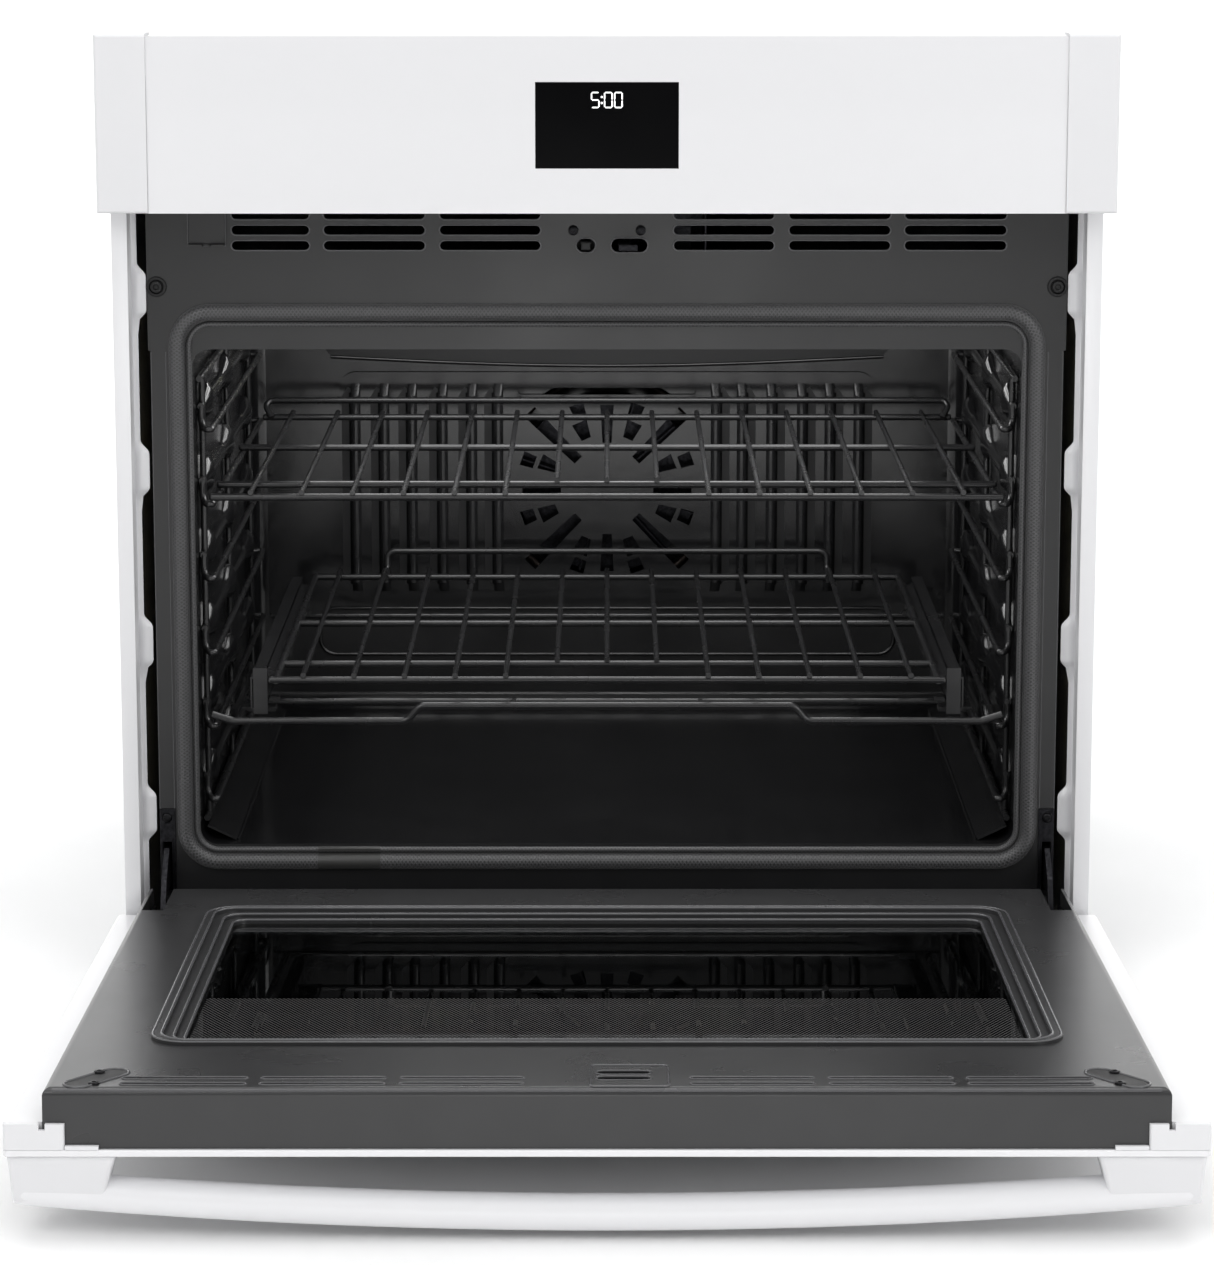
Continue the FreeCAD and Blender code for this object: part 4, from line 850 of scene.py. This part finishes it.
class OvenSideTrims(bpy.types.Operator):
    """White side trims with domed tabs on their rear flange"""
    bl_idname = "oven.side_trims"
    bl_label = "Side trims"

    def execute(self, context):
        s = context.scene.oven_sizes
        for side, label in ((1, "right"), (-1, "left")):
            lo, hi = (Vector(p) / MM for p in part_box("side_trim_" + label))
            outer = max(abs(lo.x), abs(hi.x))
            # the rear flange: its fold, its inner edge between the tabs, and at a tab
            fold, inner, inner_at_tab = 360.4, 355.6, 348.9
            tabs = (124.0, 258.0, 393.0, 529.0)
            bm = bmesh.new()
            # front face and inner wall, folded from one sheet with a small bend
            profile = [(outer, 0.0), (outer, -1.0), (360.3, -1.0), (359.7, -0.8), (359.5, -0.2),
                       (359.5, 21.5), (360.6, 21.5), (360.6, 0.0)]
            ends = [[bm.verts.new((side * x, y, z)) for x, y in profile] for z in (lo.z, hi.z)]
            bm.faces.new(ends[0])
            bm.faces.new(list(reversed(ends[1])))
            for i in range(len(profile)):
                j = (i + 1) % len(profile)
                bm.faces.new((ends[0][i], ends[0][j], ends[1][j], ends[1][i]))
            # rear flange: a sheet whose inner edge swings out to each domed tab
            levels = []
            z = lo.z
            while z < hi.z:
                near = min(abs(z - t) for t in tabs)
                levels.append(z)
                z += 2.0 if near < 30 else 12.0
            levels.append(hi.z)
            across = 9
            front, back = [], []
            for z in levels:
                near = min(abs(z - t) for t in tabs)
                share = min(1.0, max(0.0, (23.0 - near) / 10.0))
                share = share * share * (3 - 2 * share)
                edge = inner - (inner - inner_at_tab) * share
                rows = []
                for i in range(across):
                    u = i / (across - 1)
                    x = fold + (edge - fold) * u
                    dome = (s.bulge / MM) * share * math.sin(math.pi * min(1.0, 0.12 + 0.8 * u))
                    rows.append((side * x, FRAME_FACE - dome, z))
                front.append([bm.verts.new(p) for p in rows])
                back.append([bm.verts.new((x, y + 0.9, z)) for x, y, z in rows])
            for a, b, c, d in zip(front, front[1:], back, back[1:]):
                for i in range(across - 1):
                    bm.faces.new((a[i], a[i + 1], b[i + 1], b[i]))
                    bm.faces.new((c[i], d[i], d[i + 1], c[i + 1]))
                for i in (0, across - 1):
                    bm.faces.new((a[i], b[i], d[i], c[i]))
            for a, c in ((front[0], back[0]), (front[-1], back[-1])):
                for i in range(across - 1):
                    bm.faces.new((a[i], a[i + 1], c[i + 1], c[i]))
            mesh = from_bmesh("side_trim_sheet_" + label, bm)
            piece("side_trim_sheet_" + label, mesh, "root", "white_enamel",
                  ("side_trim_" + label,))
            soften(mesh, 40)
        return {"FINISHED"}


class OvenVentRims(bpy.types.Operator):
    """Beads round the frame's vent slots, the switch and latch openings and the bracket"""
    bl_idname = "oven.vent_rims"
    bl_label = "Vent rims"

    def execute(self, context):
        r = context.scene.oven_sizes.rim / MM
        # Painted highlight: the beads round the pressed edges get a paler enamel that stands for
        # the light these edges catch.
        rim_highlight = enamel("rim_highlight_enamel", "#5A5A5C", 0.35, 1.4, 0.02)
        lines = []
        for z in (565.1, 576.8, 588.5):  # the three rows
            for a, b in VENTS:
                for side in (-1, 1):
                    # the bracket covers the end of the outermost vent on the left
                    end = 283.3 if side < 0 and a > 220 else b
                    outline = obround((end - a) / 2 + r, 3.35 + r)
                    lines.append(loop_at(outline, FRAME_FACE, side * (a + end) / 2, z))
        lines.append(loop_at(obround(13.5 + r, 5 + r), FRAME_FACE, 16.9, 565.2))
        lines.append(loop_at(obround(6.8 + r, 4.95 + r), FRAME_FACE, -16.0, 565.2))
        wires("vent_rims", lines, r, "dark_enamel_frame", finish_too=rim_highlight)
        # The frame's edge beads and the bracket's edges carry the same painted highlight.
        edges = []
        for side in (-1, 1):
            for x, y, foot in ((334.9, FRAME_FACE, 102.0), (346.2, FRAME_FACE + 0.2, 60.0)):
                edges.append([(side * x, y, 484.0), (side * x, y, foot)])
        wires("frame_edge_beads", edges, 0.4, "dark_enamel_frame", sides=6, finish_too=rim_highlight)
        line = [(-316.2, 19.6, 600.0), (-316.2, 19.6, 565.0), (-287.8, 19.6, 565.0),
                (-287.8, 19.6, 600.0)]
        wires("bracket_edges", [line], 0.4, "dark_enamel_frame", sides=6, finish_too=rim_highlight)
        return {"FINISHED"}


class OvenDoorPressings(bpy.types.Operator):
    """Beads, latch plate and screw dishes pressed into the door's inner panel"""
    bl_idname = "oven.door_pressings"
    bl_label = "Door pressings"

    def execute(self, context):
        lines = []
        for s in (538, 551):
            for a, b in VENTS:
                for side in (-1, 1):
                    outline = obround((b - a) / 2 + 1.4, 2.6)
                    lines.append(loop_at(outline, DOOR_INNER, side * (a + b + 6) / 2, DOOR_LOW + s))
        for s in (525.5, 538.7):
            lines.append(loop_at(obround(17.6, 4.6), DOOR_INNER, 10.5, DOOR_LOW + s))
        # Painted highlight: the small pressed beads round the door's vents get a paler enamel that
        # stands for the light on their crests.
        vent_highlight = enamel("vent_highlight_enamel", "#48484A", 0.25, 1.4, 0.012)
        wires("door_vent_beads", lines, 0.75, "dark_enamel_door", "door", door=True,
              finish_too=vent_highlight)
        lo_s, hi_s = 72.5, 461.0  # the window's stepped bead, up from the door's lower edge
        middle, half_s = DOOR_LOW + (lo_s + hi_s) / 2, (hi_s - lo_s) / 2
        # Painted highlight on the longer rolls, the liner's edge, the latch plate's bead and the
        # screw dish rims: a paler enamel stands for the light they catch.
        bead_highlight = enamel("bead_highlight_enamel", "#4E4E50", 0.22, 1.4, 0.012)
        lines = []
        # each step of the bead: how far in from its outer edge, its depth and its corner
        for inset, t, corner in ((1.6, 44.6, 24), (7.2, 44.9, 19), (14.6, 42.0, 15),
                                 (21.4, 39.2, 12)):
            lines.append(loop_at(rounded(300 - inset, half_s - inset, corner), DOOR_FACE + t, 0.0,
                                 middle))
        wires("window_bead_rolls", lines, 1.15, "dark_enamel_door", "door", 10, True,
              finish_too=bead_highlight)
        # The liner's top edge: a roll with the same painted highlight.
        edge = [[(x, DOOR_FACE + 41.6, DOOR_LOW + 560.3) for x in (-347, 347)]]
        wires("liner_edge_roll", edge, 1.2, "dark_enamel_door", "door", 10, True,
              finish_too=bead_highlight)
        # The latch plate's bead, with the same painted highlight.
        plate = rounded(24.6, 24.5, 3.0)
        lines = [loop_at(plate, DOOR_INNER, 14.2, DOOR_LOW + 533.0)]
        wires("latch_plate_bead", lines, 1.0, "dark_enamel_door", "door", door=True,
              finish_too=bead_highlight)
        lines, bm = [], bmesh.new()
        for side in (-1, 1):
            turn = side * math.radians(52)
            rim, floor = (loop_at(obround(half, half_z), DOOR_INNER, side * SCREW_DISH,
                                  DOOR_LOW + 538, turn)
                          for half, half_z in ((25.0, 9.0), (23.6, 7.6)))
            lines.append(rim)
            slab(bm, [(x, z) for x, _, z in floor[:-1]], DOOR_INNER - 0.2, DOOR_INNER + 0.18)
        # The dish rims, with the same painted highlight.
        wires("screw_dish_rims", lines, 1.0, "dark_enamel_door", "door", door=True,
              finish_too=bead_highlight)
        # Painted shade: a flat black sheet in each dish stands for the shade in its hollow.
        mesh = from_bmesh("screw_dish_floors", bm, door=True)
        piece("screw_dish_floors", mesh, "door", "black_plastic")
        soften(mesh)
        return {"FINISHED"}


class OvenDoorPane(bpy.types.Operator):
    """The door's white front glass with its clear, tinted window"""
    bl_idname = "oven.door_pane"
    bl_label = "Door front glass"

    def execute(self, context):
        half, tall, middle = 377.82, 282.47, DOOR_LOW + 565.0 / 2
        window, lift = (250.0, 132.0, 14.0), 20.0
        y0, y1, soft = DOOR_FACE, DOOR_FACE + 4.25, 0.6
        bm = bmesh.new()
        steps = 8
        inner = rounded(*window, steps)
        outer = rounded(half, tall, 3.0, steps)
        outer_soft = rounded(half - soft, tall - soft, 3.0 - soft, steps)
        levels = [(inner, y0, lift), (outer_soft, y0, 0.0), (outer, y0 + soft, 0.0),
                  (outer, y1 - soft, 0.0), (outer_soft, y1, 0.0), (inner, y1, lift)]
        rings = [[bm.verts.new((x, y, middle + z - up)) for x, z in outline]
                 for outline, y, up in levels]
        for a, b in zip(rings, rings[1:] + rings[:1]):
            for i in range(len(a)):
                j = (i + 1) % len(a)
                bm.faces.new((a[i], a[j], b[j], b[i]))
        mesh = from_bmesh("door_white_glass", bm, door=True)
        piece("door_white_glass", mesh, "door", "white_glass", ("door_front_glass",))
        soften(mesh, 25)
        bm = bmesh.new()
        slab(bm, [(x * 0.9998, middle - lift + z * 0.9998) for x, z in inner], y0, y1)
        mesh = from_bmesh("door_window_pane", bm, door=True)
        # Float glass with a dark body tint: see-through, but nearly black against a dark cavity.
        smoked = clear_glass("smoked_glass", "#1A1B1C")
        piece("door_window_pane", mesh, "door", "window_glass", (), smoked)
        soften(mesh, 25)
        return {"FINISHED"}


class OvenGlassDots(bpy.types.Operator):
    """Fired dots along the near edge of the door's inner glass"""
    bl_idname = "oven.glass_dots"
    bl_label = "Glass dots"

    def execute(self, context):
        pitch = context.scene.oven_sizes.dot_pitch / MM
        # Fired ceramic ink: matt, dark grey.
        fired = plastic("ceramic_ink", "#3A3A3B", 0.6, 0.9, 0.01)
        places = []
        near, far, half = 438.0, 312.0, 275.0  # the band of dots, up from the door's lower edge
        for n in range(int((near - far) / (pitch * 0.87))):
            x = -half + (pitch / 2 if n % 2 else 0.0)
            while x < half:
                places.append((on_door(x, near - n * pitch * 0.87, 36.5), (0, 1, 0)))
                x += pitch
        mesh = grown("glass_dots", dot_screen_tree, spots("glass_dots", places, door=True),
                     {"Dot Radius": 0.3 * pitch * MM, "Sides": 6, "Finish": fired})
        piece("glass_dots", mesh, "door", "window_glass", (), fired)
        return {"FINISHED"}


class OvenScrews(bpy.types.Operator):
    """Screws of the frame, door and case, and the frame's two bumpers"""
    bl_idname = "oven.screws"
    bl_label = "Screws and bumpers"

    def execute(self, context):
        front, back = (0, -1, 0), (0, 1, 0)
        places = [((x, FRAME_FACE + 0.1, 576.6), front) for x in (-25.4, 25.4)]
        places += [((x, 21.0, 120.0), front) for x in (-BUMPER, BUMPER)]
        set_out("frame_screw_heads", screw_head(3.9, 2.2), places, "black_screws",
                replaces=("frame_screws",), turn=1.0)
        places = [((x, DOOR_INNER + 0.2, DOOR_LOW + z), back)
                  for x in (-SCREW_DISH, SCREW_DISH) for z in (525, 551)]
        set_out("door_screw_heads", screw_head(3.6, 1.4, depth=0.7), places, "black_screws",
                "door", True, ("door_screws",), turn=1.0)
        places = [((x, 558.4, z), back) for x in (-340, 0, 340) for z in (20, 340, 670)]
        set_out("case_screw_heads", screw_head(4.5, 2.4, depth=1.1), places, "zinc_screws",
                replaces=("case_screws",), turn=1.0)
        profile = [(0, -6.0), (3.0, -6.0), (3.0, 0.0), (7.7, 0.0), (7.7, 1.3), (7.3, 1.9),
                   (6.6, 2.2), (5.7, 2.1), (5.1, 1.5), (4.8, 0.6), (4.4, 0.6), (4.4, 2.6),
                   (4.1, 3.3), (3.4, 3.6), (2.4, 3.6), (2.0, 3.2), (1.7, 2.0), (0, 1.8)]
        places = [((x, FRAME_FACE + 0.05, 533.8), front) for x in (-BUMPER, BUMPER)]
        set_out("door_bumpers", turned(profile, 32), places, "black_rubber",
                replaces=("frame_bumpers",))
        return {"FINISHED"}


SEGMENTS = {0: "abcdef", 1: "bc", 2: "abged", 3: "abgcd", 4: "fgbc", 5: "afgcd", 6: "afgedc",
            7: "abc", 8: "abcdefg", 9: "abcdfg"}


class OvenClock(bpy.types.Operator):
    """Seven-segment clock behind the display glass"""
    bl_idname = "oven.clock"
    bl_label = "Clock"

    def execute(self, context):
        s = context.scene.oven_sizes
        tall = s.digit_height / MM
        wide, stroke, gap = tall * 0.5, tall * 0.085, tall * 0.02
        face, top = -30.56, 684.0
        bm = bmesh.new()

        def bar(x0, z0, x1, z1):
            """A segment with pointed ends between two corners of the digit."""
            along = Vector((x1 - x0, z1 - z0)).normalized()
            side = Vector((-along.y, along.x)) * stroke / 2
            a, b = Vector((x0, z0)) + along * gap, Vector((x1, z1)) - along * gap
            tip = along * stroke / 2
            outline = [a, a + tip + side, b - tip + side, b, b - tip - side, a + tip - side]
            slab(bm, [(p.x, p.y) for p in outline], face, face + 0.12)

        left = -11.4
        for digit, x in ((s.hour, left), (0, left + wide * 1.75), (0, left + wide * 3.1)):
            high, middle, low = top, top - tall / 2, top - tall
            ends = {"a": (x, high, x + wide, high), "b": (x + wide, high, x + wide, middle),
                    "c": (x + wide, middle, x + wide, low), "d": (x, low, x + wide, low),
                    "e": (x, middle, x, low), "f": (x, high, x, middle),
                    "g": (x, middle, x + wide, middle)}
            for name in SEGMENTS[digit]:
                bar(*ends[name])
        colon = left + wide * 1.37
        for z in (top - tall * 0.3, top - tall * 0.7):
            slab(bm, [(colon + 0.8 * math.cos(a), z + 0.8 * math.sin(a))
                      for a in (i * math.pi / 5 for i in range(10))], face, face + 0.12)
        mesh = from_bmesh("clock_digits", bm)
        lit = "#" + "".join("%02X" % round(255 * c) for c in s.digit_colour)
        piece("clock_digits", mesh, "root", "black_glass", (), glow("display_light", lit, 1.1))
        soften(mesh, 20)
        return {"FINISHED"}


class OvenHandle(bpy.types.Operator):
    """Bowed handle bar and its two tapered posts"""
    bl_idname = "oven.handle"
    bl_label = "Handle"

    def execute(self, context):
        s = context.scene.oven_sizes
        level = DOOR_LOW + 545.0
        gap, thick, reach = 30.0, 23.0, 374.0
        bow = s.handle_bow / MM
        rows, sides, steps = [], 40, 96
        for n in range(steps + 1):
            x = -reach + 2 * reach * n / steps
            y = DOOR_FACE - gap + bow * (x / 368.0) ** 2 - thick / 2
            inset = max(0.0, 1.0 - (reach - abs(x)) / 4.0)
            shrink = 1.0 - 0.08 * inset ** 2
            row = []
            for i in range(sides):
                a = 2 * math.pi * i / sides
                c, d = math.cos(a), math.sin(a)
                row.append((x, y + thick / 2 * shrink * math.copysign(abs(d) ** 0.92, d),
                            level + 12.5 * shrink * math.copysign(abs(c) ** 0.92, c)))
            rows.append(row)
        mesh = ring_mesh("handle_bow_bar", rows, closed_rows=False, door=True)
        piece("handle_bow_bar", mesh, "door", "white_enamel", ("handle_bar",))
        soften(mesh, 60)

        bm = bmesh.new()
        post_in, post_out = 315.5, 376.0
        for side in (-1, 1):
            rings = []
            for k in (0.0, 0.03, 0.2, 0.4, 0.6, 0.8, 0.97, 1.0):
                y = DOOR_FACE - 0.1 - k * (gap - bow + thick * 0.8)
                x0, x1 = post_in - 8 * (1 - k) ** 1.4, post_out - 2 * k
                half = 18 - 7 * k
                soft = 0.8 if 0 < k < 1 else 0.0
                middle = (x0 + x1) / 2
                outline = rounded((x1 - x0) / 2 - (0.8 - soft), half - (0.8 - soft), 3.2, 5)
                rings.append([bm.verts.new((side * (middle + a), y, level + b))
                              for a, b in outline])
            for a, b in zip(rings, rings[1:]):
                for i in range(len(a)):
                    j = (i + 1) % len(a)
                    bm.faces.new((a[i], a[j], b[j], b[i]))
            bm.faces.new(rings[0])
            bm.faces.new(list(reversed(rings[-1])))
        mesh = from_bmesh("handle_feet", bm, door=True)
        piece("handle_feet", mesh, "door", "white_plastic", ("handle_posts",))
        soften(mesh, 50)
        return {"FINISHED"}


class OvenCavityPressings(bpy.types.Operator):
    """Rack guides, floor flanges and pressed lines of the enamelled cavity"""
    bl_idname = "oven.cavity_pressings"
    bl_label = "Cavity pressings"

    def execute(self, context):
        lines = [loop_at(rounded(256, 21, 14), BACK_WALL, 0.0, 168.0)]
        arch = [(-244 + 488 * i / 24, 417 - 8 * math.sin(math.pi * i / 24)) for i in range(25)]
        lines.append([(x, BACK_WALL, z - 1.5) for x, z in arch])
        wires("back_wall_beads", lines, 1.8, "porcelain_enamel")
        # Painted shadow: a black sheet below the header's arch stands for the shadow band along the
        # top of the back wall.
        bm = bmesh.new()
        slab(bm, [(250, 424), (-250, 424)] + arch, BACK_WALL - 0.6, BACK_WALL + 0.2)
        mesh = from_bmesh("back_wall_recess", bm)
        piece("back_wall_recess", mesh, "root", "black_plastic")
        soften(mesh)
        lines = []
        for side in (-1, 1):
            lines.append([(side * 287, 34, 99.4), (side * 287, 470, 99.4)])
        wires("floor_beads", lines, 1.4, "porcelain_enamel")

        bm = bmesh.new()
        for side in (-1, 1):
            outline = [(310.5, 111.0), (311.2, 109.6), (289.2, 98.9), (287.0, 98.9), (287.4, 100.2)]
            slab(bm, [(side * x, z) for x, z in outline], 34, 470)
        mesh = from_bmesh("floor_flanges", bm)
        piece("floor_flanges", mesh, "root", "porcelain_enamel")
        soften(mesh)

        # one pressed rack guide: a ledge along the wall with three swollen ears
        for side, label in ((1, "right"), (-1, "left")):
            bm = bmesh.new()
            rows = []
            length, steps, around = 392.0, 56, 9
            for n in range(steps + 1):
                y = length * n / steps
                ear = max(0.0, max(1 - abs(y - c) / 26 for c in (34, 190, 346)))
                ear = ear * ear * (3 - 2 * ear)
                out = 5.0 + 4.6 * ear
                tall = 6.0 + 9.0 * ear
                fade = min(1.0, y / 8, (length - y) / 8)
                row = []
                for i in range(around):
                    a = math.pi * i / (around - 1)
                    row.append((math.sin(a) ** 0.8 * out * fade + 0.02,
                                -tall * math.cos(a) * (0.4 + 0.6 * fade) + 4.0 * ear, y))
                rows.append([bm.verts.new(p) for p in row])
            for a, b in zip(rows, rows[1:]):
                for i in range(around - 1):
                    bm.faces.new((a[i], a[i + 1], b[i + 1], b[i]))
                bm.faces.new((a[around - 1], a[0], b[0], b[around - 1]))
            bm.faces.new(rows[0])
            bm.faces.new(list(reversed(rows[-1])))
            guide = bmesh.new()
            scratch = bpy.data.meshes.new("guide_scratch")
            bm.to_mesh(scratch)
            bm.free()
            scratch.transform(Matrix(((-side, 0, 0, 0), (0, 0, 1, 0), (0, 1, 0, 0),
                                      (0, 0, 0, 1))))
            guide.from_mesh(scratch)
            places = [((side * 315.4, 56.0, 142.0 + 58.3 * n), (0, 0, 1)) for n in range(6)]
            set_out("rack_guides_" + label, guide, places, "porcelain_enamel")
        return {"FINISHED"}


class OvenLouvres(bpy.types.Operator):
    """Upright louvres punched through the fan cover beside its ribs, their openings drawn as
    painted shade
    """
    bl_idname = "oven.louvres"
    bl_label = "Fan cover louvres"

    def execute(self, context):
        for side, label in ((1, "right"), (-1, "left")):
            places = [((side * x, 485.86, 0.0), (0, 0, 1))
                      for x in (97, 120, 146, 173, 197.5, 223)]
            # painted shade: a black sheet on the far side of each rib stands for the shaded
            # opening, with pointed ends
            bm = bmesh.new()
            slab(bm, [(side * a, z) for a, z in (
                (2.0, 209), (11.5, 219), (11.5, 380), (6.0, 389), (2.0, 386))], -0.25, 0.1)
            set_out("louvre_openings_" + label, bm, places, "black_plastic")
            # the pressed lip that leans over the opening
            bm = bmesh.new()
            rows = []
            for z, lift in ((205, 0.0), (214, 1.0), (382, 1.0), (392, 0.0)):
                row = []
                for i in range(9):
                    a = math.pi * i / 8
                    row.append(bm.verts.new((side * (-4.4 * math.cos(a) - 1.4 + 0.6 * lift),
                                             -6.4 * lift * math.sin(a) ** 0.7, z)))
                rows.append(row)
            for a, b in zip(rows, rows[1:]):
                for i in range(8):
                    bm.faces.new((a[i], a[i + 1], b[i + 1], b[i]))
                bm.faces.new((a[8], a[0], b[0], b[8]))
            set_out("louvre_lips_" + label, bm, places, "enamelled_steel")
        return {"FINISHED"}


class OvenPanel(bpy.types.Panel):
    """Lists the oven's pieces and their settings"""
    bl_idname = "VIEW3D_PT_oven"
    bl_label = "Wall Oven"
    bl_space_type = "VIEW_3D"
    bl_region_type = "UI"
    bl_category = "Wall Oven"

    def draw(self, context):
        layout = self.layout
        for operator in OPERATORS:
            layout.operator(operator.bl_idname)
        for owner in GROUPS:
            box = layout.box()
            box.label(text=owner)
            settings = getattr(context.scene, owner)
            for key in settings.__annotations__:
                box.prop(settings, key)


GROUPS = {"oven_stage": OvenStageSettings, "oven_sizes": OvenSettings}
OPERATORS = (OvenStage, OvenFinishes, OvenGasket, OvenSideTrims, OvenVentRims,
             OvenDoorPressings, OvenDoorPane, OvenGlassDots, OvenScrews, OvenClock, OvenHandle,
             OvenCavityPressings, OvenLouvres)
CLASSES = (*GROUPS.values(), *OPERATORS, OvenPanel)


def register():
    for cls in CLASSES:
        bpy.utils.register_class(cls)
    for name, group in GROUPS.items():
        setattr(bpy.types.Scene, name, PointerProperty(type=group))


def unregister():
    for name in GROUPS:
        delattr(bpy.types.Scene, name)
    for cls in reversed(CLASSES):
        bpy.utils.unregister_class(cls)


def main():
    register()
    for operator in OPERATORS:
        group, name = operator.bl_idname.split(".")
        getattr(getattr(bpy.ops, group), name)()
    bpy.context.view_layer.update()


if __name__ == "__main__":
    main()
